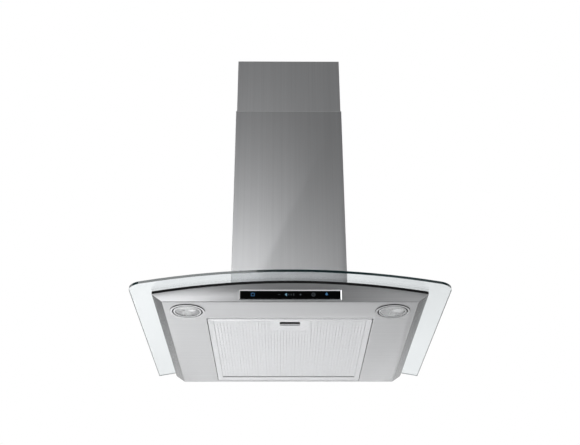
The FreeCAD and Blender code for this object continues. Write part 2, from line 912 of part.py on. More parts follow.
def flap(side):
    """Half disc that pivots on its pin; side is -1 towards the front, 1 towards the wall."""
    z = flap_pin_height()
    radius = duct_radius - collar_wall - flap_rim_gap
    low = z - flap_thickness / 2
    disc = rod(radius, Vector(0, duct_y, low), Vector(0, duct_y, low + flap_thickness))
    pin_y = duct_y + side * flap_pin_offset
    far = pin_y + side * duct_radius
    half = box(-radius, radius, min(pin_y, far), max(pin_y, far), low - overrun, z + overrun)
    barrel_end = radius - flap_barrel_inset
    barrel = rod(flap_barrel_radius, Vector(-barrel_end, pin_y, z), Vector(barrel_end, pin_y, z))
    relief_low = min(pin_y, pin_y + side * flap_barrel_radius)
    relief_high = max(pin_y, pin_y + side * flap_barrel_radius)
    blade = disc.common(half)
    for x0, x1 in ((-radius, -barrel_end), (barrel_end, radius)):
        blade = blade.cut(box(x0, x1, relief_low, relief_high, low - overrun, z + overrun))
    bore = rod(flap_pin_radius + running_gap, Vector(-duct_radius, pin_y, z), Vector(duct_radius, pin_y, z))
    return blade.fuse(barrel).cut(bore).removeSplitter()


def flap_pins():
    z = flap_pin_height()
    ends = [(Vector(-duct_radius, y, z), Vector(duct_radius, y, z)) for y in flap_pin_places()]
    return Part.makeCompound([rod(flap_pin_radius, start, end) for start, end in ends])


def cover(half, front_y, back_y, low, high):
    """Three sided chimney cover, open towards the wall."""
    shell = box(-half, half, front_y, back_y, low, high)
    inner = half - cover_sheet
    front = front_y + cover_sheet
    return shell.cut(box(-inner, inner, front, back_y + overrun, low - overrun, high + overrun))


def chimney_lower():
    """Lower cover: it stands on the glass, and its wall edges turn inwards."""
    shell = cover(chimney_half, -chimney_depth, 0, 0, chimney_step_height)
    for side in (-1, 1):
        outer = side * chimney_half
        inner = side * (chimney_half - cover_sheet - chimney_return)
        edge = box(min(outer, inner), max(outer, inner), -cover_sheet, 0, 0, chimney_step_height)
        shell = shell.fuse(edge)
    ground = arch_cylinder(glass_top_radius + seat_gap, -chimney_depth - overrun, overrun)
    return shell.cut(ground).removeSplitter()


def chimney_upper():
    """Upper cover, which telescopes inside the lower one."""
    back = -cover_sheet - slide_gap
    low = chimney_top_height - chimney_upper_length
    return cover(upper_half, upper_front_y, back, low, chimney_top_height)


def chimney_bracket():
    """Wall bracket inside the top of the upper cover."""
    half = upper_half - cover_sheet - seat_gap
    top = chimney_top_height - bracket_drop
    low = top - bracket_height
    plate = box(-half, half, -bracket_sheet, 0, low, top)
    pieces = [plate]
    for side in (-1, 1):
        outer = side * half
        inner = side * (half - bracket_sheet)
        pieces.append(box(min(outer, inner), max(outer, inner), -bracket_ear, 0, low, top))
    bracket = joined(pieces)
    middle = (low + top) / 2
    for x in (-bracket_hole_spacing / 2, bracket_hole_spacing / 2):
        start = Vector(x, -bracket_sheet - overrun, middle)
        hole = rod(bracket_hole_radius, start, Vector(x, overrun, middle))
        bracket = bracket.cut(hole)
    return bracket


def cover_clips():
    """Two bent clips on the motor box's sides that the lower cover grips."""
    low = glass_apex_height + clip_rise
    high = low + clip_height
    gap = chimney_half - cover_sheet - box_half
    y1 = -box_depth / 2
    y0 = y1 - clip_width
    outside = box(box_half, box_half + gap - seat_gap, y0, y1, low, high)
    hollow = box(box_half + sheet, box_half + gap, y0 - overrun, y1 + overrun, low + sheet, high + overrun)
    hollow = hollow.cut(box(box_half + gap - seat_gap - sheet, box_half + gap, y0, y1, low, high))
    clip = outside.cut(hollow)
    return Part.makeCompound([clip, mirrored(clip)])


def filter_frame():
    """Folded aluminium channel round the mesh, with two rear tabs and a tongue slot."""
    block = rounded_rectangle(
        -filter_half,
        filter_half,
        filter_front_y,
        filter_back_y,
        0,
        filter_height,
        filter_corner_radius,
    )
    wall = filter_sheet
    channel = box(
        -filter_half + wall,
        filter_half - wall,
        filter_front_y + wall,
        filter_back_y - wall,
        wall,
        filter_height - wall,
    )
    window = box(
        -filter_half + filter_side_border,
        filter_half - filter_side_border,
        filter_front_y + filter_front_border,
        filter_back_y - filter_back_border,
        -overrun,
        filter_height / 2,
    )
    top_window = box(
        -filter_half + filter_top_border,
        filter_half - filter_top_border,
        filter_front_y + filter_top_border,
        filter_back_y - filter_top_border,
        filter_height / 2,
        filter_height + overrun,
    )
    frame = block.cut(channel).cut(window).cut(top_window)
    tongue_half = tongue_width / 2 + seat_gap
    slot = box(
        -tongue_half,
        tongue_half,
        filter_front_y - overrun,
        filter_front_y + wall + seat_gap,
        latch_low() - seat_gap / 2,
        latch_low() + latch_thickness + seat_gap,
    )
    frame = frame.cut(slot)
    for x in (-tab_spacing / 2, tab_spacing / 2):
        low = sheet + seat_gap
        tab = box(
            x - tab_width / 2,
            x + tab_width / 2,
            filter_back_y - wall,
            filter_back_y + tab_reach,
            low,
            low + tab_thickness,
        )
        frame = frame.fuse(tab)
    return frame.removeSplitter()


def mesh_outline(z0, z1):
    """Flat layer that fills the frame's channel, cut away round the latch."""
    inset = filter_sheet + seat_gap
    layer = box(
        -filter_half + inset,
        filter_half - inset,
        filter_front_y + inset,
        filter_back_y - inset,
        z0,
        z1,
    )
    zone_half = latch_zone_width / 2 + seat_gap
    back = filter_front_y + filter_front_border + latch_zone_depth + seat_gap
    zone = box(-zone_half, zone_half, filter_front_y, back, z0 - overrun, z1 + overrun)
    return layer.cut(zone)


def filter_face_mesh():
    """Lower perforated sheet: rows of long slots that run front to back."""
    low = filter_sheet
    layer = mesh_outline(low, low + face_mesh_thickness)
    x_reach = filter_half - filter_side_border - mesh_slot_width
    columns = int(2 * x_reach / mesh_slot_pitch)
    start_y = filter_front_y + filter_front_border + mesh_slot_width
    end_y = filter_back_y - filter_back_border - mesh_slot_width
    row_pitch = (end_y - start_y + mesh_slot_land) / mesh_slot_rows
    slot_length = row_pitch - mesh_slot_land
    zone_half = latch_zone_width / 2 + mesh_slot_pitch / 2
    zone_back = filter_front_y + filter_front_border + latch_zone_depth + mesh_slot_land
    slots = []
    for column in range(columns + 1):
        x = (column - columns / 2) * mesh_slot_pitch
        for row in range(mesh_slot_rows):
            y = start_y + row * row_pitch
            if abs(x) < zone_half and y < zone_back:
                continue
            half = mesh_slot_width / 2
            slots.append(box(x - half, x + half, y, y + slot_length, low - overrun, filter_height))
    return layer.cut(Part.makeCompound(slots))


def filter_core_mesh():
    """Pleated inner layer that catches the grease."""
    low = filter_sheet + face_mesh_thickness + seat_gap
    high = filter_height - filter_sheet - top_mesh_thickness - 2 * seat_gap
    inset = filter_sheet + seat_gap
    x_reach = filter_half - filter_side_border
    pleats = int(2 * x_reach / core_pleat_pitch)
    thick = core_mesh_thickness
    lower = []
    upper = []
    for index in range(2 * pleats + 1):
        x = (index - pleats) * core_pleat_pitch / 2
        rise = low if index % 2 == 0 else high - thick
        lower.append(Vector(x, 0, rise))
        upper.append(Vector(x, 0, rise + thick))
    section = polygon(lower + upper[::-1])
    start = filter_front_y + inset
    section.translate(Vector(0, start, 0))
    pleated = section.extrude(Vector(0, filter_depth - 2 * inset, 0))
    return pleated.common(mesh_outline(low - overrun, high + overrun))


def filter_top_mesh():
    """Upper retaining sheet with a few wide openings."""
    high = filter_height - filter_sheet - seat_gap
    layer = mesh_outline(high - top_mesh_thickness, high)
    pitch = 4 * mesh_slot_pitch
    half = pitch / 2 - mesh_slot_land / 2
    columns = int((filter_width - 2 * filter_side_border) / pitch)
    y0 = filter_front_y + filter_front_border + latch_zone_depth + mesh_slot_land
    y1 = filter_back_y - filter_back_border
    openings = []
    for column in range(columns):
        x = (column - (columns - 1) / 2) * pitch
        middle = (y0 + y1) / 2
        openings.append(box(x - half, x + half, y0, middle - mesh_slot_land / 2, 0, filter_height))
        openings.append(box(x - half, x + half, middle + mesh_slot_land / 2, y1, 0, filter_height))
    return layer.cut(Part.makeCompound(openings))


def latch_low():
    """Height of the sliding latch over the underside."""
    return filter_sheet + seat_gap


def finger_slot_front():
    return filter_front_y + filter_front_border + finger_slot_setback


def latch_housing():
    """Plain plate with the finger slot, and the tray walls round the latch."""
    half = latch_zone_width / 2
    wall = filter_sheet
    front = filter_front_y + filter_front_border + seat_gap / 2
    back = filter_front_y + filter_front_border + latch_zone_depth
    high = filter_height - 2 * wall - seat_gap
    tray = box(-half, half, front, back, 0, high)
    tray = tray.cut(box(-half + wall, half - wall, front - overrun, back - wall, wall, high + overrun))
    slot_half = finger_slot_width / 2
    slot_front = finger_slot_front()
    slot = rounded_rectangle(
        -slot_half,
        slot_half,
        slot_front,
        slot_front + finger_slot_depth,
        -overrun,
        wall + overrun,
        finger_slot_lip,
    )
    return tray.cut(slot)


def latch_lid():
    """Sheet that closes the latch tray from above."""
    half = latch_zone_width / 2
    wall = filter_sheet
    front = filter_front_y + filter_top_border + seat_gap
    back = filter_front_y + filter_front_border + latch_zone_depth
    low = filter_height - 2 * wall - seat_gap
    return box(-half, half, front, back, low, low + wall)


def latch_back_y():
    """Rear edge of the sliding latch at rest."""
    return finger_slot_front() + finger_slot_depth + latch_tail


def filter_latch():
    """Sliding latch: tongue in front, finger window, and a raised tail for the springs."""
    low = latch_low()
    high = low + latch_thickness
    half = latch_width / 2
    slot_half = finger_slot_width / 2
    slot_front = finger_slot_front()
    plate_front = slot_front - latch_bar
    plate = box(-half, half, plate_front, latch_back_y(), low, high)
    window_back = slot_front + finger_slot_depth / 2
    window = box(-slot_half, slot_half, slot_front, window_back, low - overrun, high + overrun)
    tongue_half = tongue_width / 2
    tongue = box(-tongue_half, tongue_half, filter_front_y + seat_gap, plate_front, low, high)
    tail_top = low + latch_tail_height
    grip = box(-slot_half, slot_half, window_back, window_back + latch_thickness, low, tail_top)
    tail = box(-half, half, latch_back_y() - latch_thickness, latch_back_y(), low, tail_top)
    return joined([plate.cut(window), tongue, grip, tail])


def latch_springs():
    """Two small coil springs behind the latch, of many sided wire."""
    start = latch_back_y()
    end = filter_front_y + filter_front_border + latch_zone_depth - filter_sheet
    length = end - start - latch_spring_wire
    pitch = length / latch_spring_turns
    path = Part.makeHelix(pitch, length, latch_spring_radius)
    outward = Vector(1, 0, 0)
    along = Vector(0, 1, pitch / (2 * math.pi * latch_spring_radius)).normalize()
    across = along.cross(outward)
    corners = []
    for index in range(latch_wire_sides):
        angle = 2 * math.pi * index / latch_wire_sides
        offset = outward * math.cos(angle) + across * math.sin(angle)
        corners.append(outward * latch_spring_radius + offset * (latch_spring_wire / 2))
    section = Part.makePolygon(corners + [corners[0]])
    coil = Part.Wire(path).makePipeShell([section], True, True)
    coil.rotate(Vector(0, 0, 0), Vector(1, 0, 0), -90)
    height = latch_low() + latch_spring_radius + latch_spring_wire / 2
    shapes = []
    for x in (-latch_spring_spacing / 2, latch_spring_spacing / 2):
        placed = coil.copy()
        placed.translate(Vector(x, start + latch_spring_wire / 2, height))
        shapes.append(placed)
    return Part.makeCompound(shapes)


def lamp_bezel():
    """Outer trim ring with a collar through the underside."""
    inner = lamp_bezel_bore
    collar = lamp_hole_radius - seat_gap
    points = [
        (inner, lamp_collar_height),
        (inner, -lamp_bezel_proud),
        (inner + lamp_bezel_proud, -lamp_bezel_proud),
        (lamp_bezel_radius - running_gap, -lamp_bezel_proud / 3),
        (lamp_bezel_radius, 0),
        (collar, 0),
        (collar, lamp_collar_height),
    ]
    return turned(points, lamp_x, lamp_y)


def lamp_rim_height():
    return lamp_collar_height / 2


def lamp_ring():
    """Inner retaining ring that holds the lens."""
    inner = lamp_lens_radius - seat_gap
    outer = lamp_ring_radius
    lens_seat = lamp_rim_height() - lamp_lens_thickness - seat_gap
    points = [
        (inner, -lamp_bezel_proud / 2),
        (inner + lamp_bezel_proud, -lamp_bezel_proud),
        (outer - lamp_bezel_proud, -lamp_bezel_proud),
        (outer, -lamp_bezel_proud / 2),
        (outer, lamp_rim_height()),
        (lamp_lens_radius + seat_gap, lamp_rim_height()),
        (lamp_lens_radius + seat_gap, lens_seat),
        (inner, lens_seat),
    ]
    return turned(points, lamp_x, lamp_y)


def lamp_lens():
    """Round glass, domed on its lower face."""
    high = lamp_rim_height()
    low = high - lamp_lens_thickness
    sag = lamp_lens_thickness
    reach = lamp_lens_radius - seat_gap * 3
    ball = (reach ** 2 + sag ** 2) / (2 * sag)
    centre = Vector(lamp_x, lamp_y, low - sag + ball)
    dome = Part.makeSphere(ball, centre)
    cut_low = Vector(lamp_x, lamp_y, low - sag - overrun)
    dome = dome.common(rod(reach, cut_low, Vector(lamp_x, lamp_y, high)))
    flange = rod(lamp_lens_radius, Vector(lamp_x, lamp_y, low), Vector(lamp_x, lamp_y, high))
    return dome.fuse(flange)


def lamp_reflector():
    """Polished cup over the lens."""
    low = lamp_rim_height() + seat_gap
    wall = sheet / 2
    high = sheet + lamp_can_height - lamp_holder_height - sheet
    neck = lamp_reflector_neck
    brim = lamp_ring_radius
    mouth = lamp_lens_radius - seat_gap
    middle = (low + high) / 2
    shoulder = (mouth + neck) * 3 / 5
    points = [
        (mouth, low),
        (brim, low),
        (brim, low + wall),
        (mouth + wall / 2, low + wall),
        (shoulder + wall, middle + wall),
        (neck + wall, high),
        (neck, high),
        (neck, high - wall),
        (shoulder, middle),
    ]
    return turned(points, lamp_x, lamp_y)


def lamp_can():
    """Pressed housing that sits on the inside of the underside."""
    inner = lamp_hole_radius + sheet / 2
    outer = inner + sheet
    low = sheet
    high = low + lamp_can_height
    points = [
        (inner, low),
        (outer + lamp_can_flange, low),
        (outer + lamp_can_flange, low + sheet),
        (outer, low + sheet),
        (outer, high),
        (0, high),
        (0, high - sheet),
        (inner, high - sheet),
    ]
    return turned(points, lamp_x, lamp_y)


def lamp_holder():
    """Ceramic socket under the can's top."""
    high = lamp_can_height
    low = high - lamp_holder_height + seat_gap
    return rod(lamp_reflector_neck + sheet, Vector(lamp_x, lamp_y, low), Vector(lamp_x, lamp_y, high))


def lamp_bulb():
    """Small halogen capsule pushed into the holder."""
    high = lamp_can_height - lamp_holder_height + seat_gap
    low = lamp_rim_height() + 2 * seat_gap
    body = rod(lamp_bulb_radius, Vector(lamp_x, lamp_y, low), Vector(lamp_x, lamp_y, high))
    tip = [edge for edge in body.Edges if edge.Closed and edge.BoundBox.ZMax < high - seat_gap]
    return body.makeFillet(lamp_bulb_radius / 2, tip)


def control_frame():
    """Thin bright frame round the touch glass, with a collar through the fascia."""
    half = control_width / 2
    low = control_rise
    high = control_rise + control_height
    bar = control_bar
    flange = box(-half, half, -control_proud, 0, low, high)
    collar = control_window(0).common(box(-half, half, -control_proud, sheet + seat_gap, low, high))
    inset = bar + sheet / 2
    bore = box(-half + inset, half - inset, -overrun, sheet + overrun, low + inset, high - inset)
    return on_fascia(flange.fuse(collar).cut(bore).removeSplitter())


def touch_glass_box(y0, y1, grow):
    inset = control_bar + sheet / 2 + running_gap - grow
    half = control_width / 2 - inset
    low = control_rise + inset
    high = control_rise + control_height - inset
    return box(-half, half, y0, y1, low, high)


def control_glass():
    """Black touch glass, a little proud of the fascia and short of the frame's face."""
    front = -control_proud / 2
    return on_fascia(touch_glass_box(front, front + control_glass_thickness, 0))


def control_housing():
    """Plastic tray that closes the strip from inside the body."""
    wall = control_housing_wall
    front = sheet + seat_gap
    outer = touch_glass_box(front, front + control_housing_depth, 2 * wall)
    inner = touch_glass_box(front - overrun, front + control_housing_depth - wall, wall / 2)
    return on_fascia(outer.cut(inner))


def control_board():
    """Circuit board behind the glass, with one sensor pad per key."""
    front = -control_proud / 2 + control_glass_thickness
    pad = control_board_thickness
    plate = touch_glass_box(front + pad, front + 2 * pad, 0)
    margin = control_board_margin
    low = control_rise + margin + control_bar
    high = control_rise + control_height - margin - control_bar
    reach = control_width / 2 - 2 * margin - touch_pad_width
    pieces = [plate]
    for index in range(touch_pad_count):
        x = -reach + 2 * reach * index / (touch_pad_count - 1)
        pieces.append(box(x - touch_pad_width / 2, x + touch_pad_width / 2, front, front + pad, low, high))
    post_back = sheet + seat_gap + control_housing_depth - control_housing_wall
    for side in (-1, 1):
        x = side * reach
        pieces.append(box(x - margin, x + margin, front + 2 * pad, post_back, low, high))
    return on_fascia(joined(pieces))


def main():
    os.makedirs("parts", exist_ok=True)
    save("canopy_panel", canopy_panel())
    save("top_plate", top_plate())
    save("canopy_seal", canopy_seal())
    save("glass_canopy", glass_canopy())
    save("glass_screws", glass_screws())
    save("glass_bushes", glass_bushes())
    save("glass_nuts", glass_nuts())
    save("motor_box", motor_box())
    save("box_screws", box_screws())
    save("box_top", box_top())
    save("box_cover", box_cover())
    save("cover_screws", cover_screws())
    save("scroll_wrap", scroll_wrap())
    save("scroll_side_right", scroll_side())
    save("scroll_side_left", mirrored(scroll_side()))
    save("impeller", impeller())
    save("impeller_disc", impeller_disc())
    save("motor_shaft", motor_shaft())
    save("motor", motor())
    save("motor_bracket", motor_bracket())
    save("capacitor", capacitor())
    save("module_housing", module_housing())
    save("module_board", module_board())
    save("cable_gland", cable_gland())
    save("duct_collar", duct_collar())
    save("collar_screws", collar_screws())
    save("flap_front", flap(-1))
    save("flap_rear", flap(1))
    save("flap_pins", flap_pins())
    save("chimney_lower", chimney_lower())
    save("chimney_upper", chimney_upper())
    save("chimney_bracket", chimney_bracket())
    save("cover_clips", cover_clips())
    save("filter_frame", filter_frame())
    save("filter_face_mesh", filter_face_mesh())
    save("filter_core_mesh", filter_core_mesh())
    save("filter_top_mesh", filter_top_mesh())
    save("latch_housing", latch_housing())
    save("latch_lid", latch_lid())
    save("filter_latch", filter_latch())
    save("latch_springs", latch_springs())
    lamp_pieces = {
        "bezel": lamp_bezel(),
        "ring": lamp_ring(),
        "lens": lamp_lens(),
        "reflector": lamp_reflector(),
        "can": lamp_can(),
        "holder": lamp_holder(),
        "bulb": lamp_bulb(),
    }
    for name, piece in lamp_pieces.items():
        save("lamp_" + name + "_right", piece)
        save("lamp_" + name + "_left", mirrored(piece))
    save("control_frame", control_frame())
    save("control_glass", control_glass())
    save("control_housing", control_housing())
    save("control_board", control_board())


main()
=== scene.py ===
import json
import math

import bmesh
import bpy
from mathutils import Matrix, Vector


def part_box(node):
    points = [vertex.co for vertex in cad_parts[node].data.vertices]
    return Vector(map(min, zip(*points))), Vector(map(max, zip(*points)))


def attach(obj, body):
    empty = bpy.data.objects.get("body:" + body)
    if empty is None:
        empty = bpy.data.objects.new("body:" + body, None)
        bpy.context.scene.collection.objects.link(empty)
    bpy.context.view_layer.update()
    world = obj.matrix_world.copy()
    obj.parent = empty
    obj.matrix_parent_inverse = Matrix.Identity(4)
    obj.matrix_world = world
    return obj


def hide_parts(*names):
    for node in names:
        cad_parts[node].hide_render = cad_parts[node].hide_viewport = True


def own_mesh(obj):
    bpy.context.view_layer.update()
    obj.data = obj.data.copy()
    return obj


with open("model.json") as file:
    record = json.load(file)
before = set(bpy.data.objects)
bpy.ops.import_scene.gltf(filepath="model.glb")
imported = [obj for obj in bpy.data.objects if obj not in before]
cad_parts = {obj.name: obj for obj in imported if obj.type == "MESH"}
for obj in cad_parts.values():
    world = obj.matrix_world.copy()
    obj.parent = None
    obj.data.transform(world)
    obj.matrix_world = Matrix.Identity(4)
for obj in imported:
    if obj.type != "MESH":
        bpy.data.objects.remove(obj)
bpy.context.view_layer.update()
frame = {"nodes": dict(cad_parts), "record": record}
nodes = frame["nodes"]

# Lengths are in metres unless a name or a comment says mm.
MM = 0.001
MERGE_DISTANCE = 0.00001
FLOOR_HEIGHT = -1.74
# Widths of the filter frame's borders in mm; they set the slope of its mitres.
SIDE_BORDER = 11.0
FRONT_BORDER = 8.0
# The stretch of a noise that leaves its grain long in one axis.
GRAIN_X = (3, 700, 700)
GRAIN_Y = (700, 3, 700)
GRAIN_Z = (700, 700, 3)
# Half the distance between the noise levels of a finish's low and high colour.
NARROW, WIDE, FULL = 0.15, 0.2, 0.5
# Sockets of a Mix node for colours.
MIX_FACTOR, MIX_LOW, MIX_HIGH, MIX_RESULT = 0, 6, 7, 2
COOL_TINT = (0.985, 0.995, 1.012)


def fill(tree, socket, value):
    """Links a wire to a socket, or sets the socket to a plain value."""
    if isinstance(value, Wire):
        tree.links.new(value.socket, socket)
    else:
        socket.default_value = value


class Wire:
    """A node socket whose operators add Math nodes."""

    def __init__(self, tree, socket):
        self.tree = tree
        self.socket = socket

    def math(self, operation, *values):
        node = self.tree.nodes.new("ShaderNodeMath")
        node.operation = operation
        for index, value in enumerate(values):
            fill(self.tree, node.inputs[index], value)
        return Wire(self.tree, node.outputs[0])

    def __add__(self, other):
        return self.math("ADD", self, other)

    def __radd__(self, other):
        return self.math("ADD", other, self)

    def __sub__(self, other):
        return self.math("SUBTRACT", self, other)

    def __rsub__(self, other):
        return self.math("SUBTRACT", other, self)

    def __mul__(self, other):
        return self.math("MULTIPLY", self, other)

    def __rmul__(self, other):
        return self.math("MULTIPLY", other, self)

    def __truediv__(self, other):
        return self.math("DIVIDE", self, other)

    def __lt__(self, edge):
        return self.math("LESS_THAN", self, edge)

    def __gt__(self, edge):
        return self.math("GREATER_THAN", self, edge)

    def __abs__(self):
        return self.math("ABSOLUTE", self)

    def __pow__(self, power):
        return self.math("POWER", self, power)

    def larger(self, other):
        return self.math("MAXIMUM", self, other)

    def smaller(self, other):
        return self.math("MINIMUM", self, other)

    def limited(self):
        return self.larger(0.0).smaller(1.0)

    def rise(self, start, slope):
        """0 up to start, then rising to 1 at a slope."""
        return ((self - start) * slope).limited()

    def fall(self, end, slope):
        """Falling from 1 at a slope, and 0 from end on."""
        return ((end - self) * slope).limited()


class Finish:
    """A material with one Principled shader, built node by node."""

    def __init__(self, name, **settings):
        self.material = bpy.data.materials.new(name)
        self.material.use_nodes = True
        self.tree = self.material.node_tree
        self.shader = self.tree.nodes["Principled BSDF"]
        for socket, value in settings.items():
            self.shader.inputs[socket.replace("_", " ")].default_value = value

    def node(self, kind, settings=None, **sockets):
        """Adds a node, sets it up, then fills its sockets with values or links."""
        made = self.tree.nodes.new("ShaderNode" + kind)
        for key, value in (settings or {}).items():
            setattr(made, key, value)
        for key, value in sockets.items():
            fill(self.tree, made.inputs[key], value)
        return made

    def out(self, node, key=0):
        return Wire(self.tree, node.outputs[key])

    def place(self, scale=(1, 1, 1)):
        """The piece's own coordinates, in metres times scale."""
        coordinates = self.node("TexCoord")
        return self.out(self.node("Mapping", Vector=self.out(coordinates, "Object"), Scale=scale))

    def axes(self, scale=1.0):
        """The piece's own X, Y and Z, in metres times scale."""
        split = self.node("SeparateXYZ", Vector=self.place((scale, scale, scale)))
        return [self.out(split, axis) for axis in "XYZ"]

    def noise(self, scale, detail=3.0, stretch=(1, 1, 1), roughness=0.5):
        place = self.place(stretch)
        return self.out(
            self.node("TexNoise", Vector=place, Scale=scale, Detail=detail, Roughness=roughness)
        )

    def ramp(self, wire, low, high, spread=NARROW):
        """Colour low up to 0.5 - spread of the wire, and high from 0.5 + spread on."""
        node = self.node("ValToRGB", Fac=wire)
        stops = ((0.5 - spread, low), (0.5 + spread, high))
        for element, (position, colour) in zip(node.color_ramp.elements, stops):
            element.position = position
            element.color = (*colour, 1)
        return self.out(node)

    def blend(self, mask, low, high):
        """Colour low where the mask is 0 and high where it is 1."""
        node = self.node("Mix", {"data_type": "RGBA"})
        fill(self.tree, node.inputs[MIX_FACTOR], mask)
        for index, colour in ((MIX_LOW, low), (MIX_HIGH, high)):
            value = colour if isinstance(colour, Wire) else (*colour, 1)
            fill(self.tree, node.inputs[index], value)
        return self.out(node, MIX_RESULT)

    def feed(self, socket, wire):
        self.tree.links.new(wire.socket, self.shader.inputs[socket])

    def bump(self, height, distance, strength):
        """Bump of a height in mm."""
        node = self.node("Bump", Height=height, Distance=distance * MM, Strength=strength)
        self.feed("Normal", self.out(node))


def cool(value):
    """The slightly blue grey of bare steel and aluminium."""
    return tuple(value * share for share in COOL_TINT)


def shade(base, share):
    """A colour times a share, no channel over 1."""
    return tuple(min(1.0, channel * share) for channel in base)


def brushed_steel(name, stretch, tone, rough, **settings):
    """Stainless sheet with a fine grain along the axis that stretch leaves long."""
    finish = Finish(name, Metallic=1.0, **settings)
    fine = finish.noise(1.0, detail=4.0, stretch=stretch, roughness=0.6)
    broad = finish.noise(0.18, detail=2.0, stretch=stretch)
    streak = fine * 0.6 + broad * 0.4
    finish.feed("Base Color", finish.ramp(streak, cool(tone * 0.95), cool(tone * 1.04)))
    finish.feed("Roughness", rough - 0.04 + streak * 0.08)
    finish.bump(fine, distance=0.04, strength=0.3)
    return finish.material


def plain_metal(name, base, rough, grain=0.04):
    """Metal with a faint mottle, such as zinc plate or turned aluminium."""
    finish = Finish(name, Metallic=1.0)
    spots = finish.noise(90.0, detail=4.0)
    finish.feed("Base Color", finish.ramp(spots, shade(base, 1 - grain), shade(base, 1 + grain)))
    finish.feed("Roughness", rough + (spots - 0.5) * 0.1)
    finish.bump(spots, distance=0.02, strength=0.2)
    return finish.material


def mesh_aluminium(name):
    """Bright, matt rolled aluminium of the filter's sheets."""
    finish = Finish(name, Metallic=0.8)
    spots = finish.noise(240.0)
    finish.feed("Base Color", finish.ramp(spots, cool(0.93), cool(0.98)))
    finish.feed("Roughness", 0.32 + spots * 0.12)
    finish.bump(spots, distance=0.03, strength=0.3)
    return finish.material


def frame_aluminium(name):
    """Satin aluminium of the filter's frame.

    Under the frame the front border is made more metallic and glossier than the other three, up to
    the mitres, as a painted highlight.
    The wall that faces the gap in front is matt and pale, as painted light.
    """
    finish = Finish(name)
    low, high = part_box("filter_frame")
    half_width, front = high[0], low[1]
    underside = low[2] + 0.1 * MM
    front_wall = front + 0.2 * MM
    x, y, z = finish.axes()
    before_mitres = (y - front) * (SIDE_BORDER / FRONT_BORDER) < half_width - abs(x)
    bright = before_mitres * (z < underside)
    painted_light_wall = (y < front_wall) * (z > underside)
    grain = finish.noise(1.0, stretch=(60, 900, 900))
    # Painted highlight: the front border's underside gets more metal and less roughness, and the
    # front wall is made matt and pale so the lamps light it white.
    finish.feed("Metallic", 0.55 + bright * 0.45 - painted_light_wall * 0.55)
    finish.feed("Base Color", finish.ramp(grain, cool(0.92), cool(0.97)))
    finish.feed("Roughness", 0.34 + grain * 0.06 - bright * 0.24)
    finish.bump(grain, distance=0.02, strength=0.2)
    return finish.material


def latch_finish(name):
    """Satin aluminium slider; a black patch on its grip is painted shade, standing for the dark
    inside of the finger slot.
    """
    finish = Finish(name)
    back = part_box("filter_latch")[1][1]
    shade_half_width, shade_half_depth, shade_from_back = 20.2 * MM, 2.4 * MM, 16.4 * MM
    x, y, _ = finish.axes()
    # Painted shade: the black patch stands for the dark inside of the finger slot.
    slot_shade = (abs(x) < shade_half_width) * (abs(y - back + shade_from_back) < shade_half_depth)
    spots = finish.noise(90.0)
    satin = finish.ramp(spots, cool(0.70), cool(0.76))
    finish.feed("Base Color", finish.blend(slot_shade, satin, (0.004, 0.004, 0.004)))
    finish.feed("Metallic", 1.0 - slot_shade)
    finish.feed("Roughness", 0.4 + slot_shade * 0.3 + (spots - 0.5) * 0.06)
    return finish.material


def moulded(name, base, rough):
    """Moulded plastic or rubber with a fine texture."""
    finish = Finish(name)
    fine = finish.noise(900.0, detail=2.0)
    finish.feed("Base Color", finish.ramp(fine, shade(base, 0.9), shade(base, 1.08)))
    finish.feed("Roughness", rough + (fine - 0.5) * 0.12)
    finish.bump(fine, distance=0.05, strength=0.3)
    return finish.material


def clear_glass(name, tint):
    """Clear glass with faint smears."""
    finish = Finish(name, Transmission_Weight=1.0, IOR=1.52)
    smear = finish.noise(7.0, detail=2.0)
    finish.feed("Base Color", finish.ramp(smear, shade(tint, 0.992), tint, WIDE))
    finish.feed("Roughness", (smear - 0.5).larger(0.0) * 0.01)
    return finish.material


def frosted_glass(name, centre=None, painted_glint=1.0):
    """Etched lamp glass, partly milky; on a lens, metal is mixed in at a spot, a middle streak and
    its front edge, as a painted highlight and painted reflection.
    """
    finish = Finish(name, Transmission_Weight=0.65, IOR=1.4)
    cloud = finish.noise(60.0, detail=2.0)
    finish.feed("Base Color", finish.ramp(cloud, (0.93, 0.94, 0.95), (0.97, 0.98, 0.99), WIDE))
    finish.feed("Roughness", 0.09 + cloud * 0.05)
    if centre:
        # Painted highlight and painted reflection: metal mixed into the lens at a spot, a middle
        # streak and along its front edge.
        open_radius = 22.0 * MM
        glint_across, glint_along = 0.38, -0.30
        x, y, _ = finish.axes()
        across = (x - centre[0]) / open_radius
        along = (y - centre[1]) / open_radius
        glint_x, glint_y = across - glint_across, along - glint_along
        fading = glint_x * glint_x * 3.5 + glint_y * glint_y * 6.0
        painted_glint_spot = (1.0 - fading / painted_glint).limited() * painted_glint
        middle = (1.0 - across * across * 3.0).limited() * 0.2
        front = along.fall(-0.35, 1.6) * 0.7
        finish.feed("Metallic", painted_glint_spot.larger(middle).larger(front).limited())
    return finish.material


def glass_rim(name, base, rough):
    """Ground and polished edge of the glass, where the light has come a long way through it."""
    finish = Finish(name, IOR=1.5, Coat_Weight=0.6)
    cloud = finish.noise(25.0)
    finish.feed("Base Color", finish.ramp(cloud, shade(base, 0.75), shade(base, 1.3)))
    finish.feed("Roughness", rough + (cloud - 0.5) * 0.1)
    return finish.material


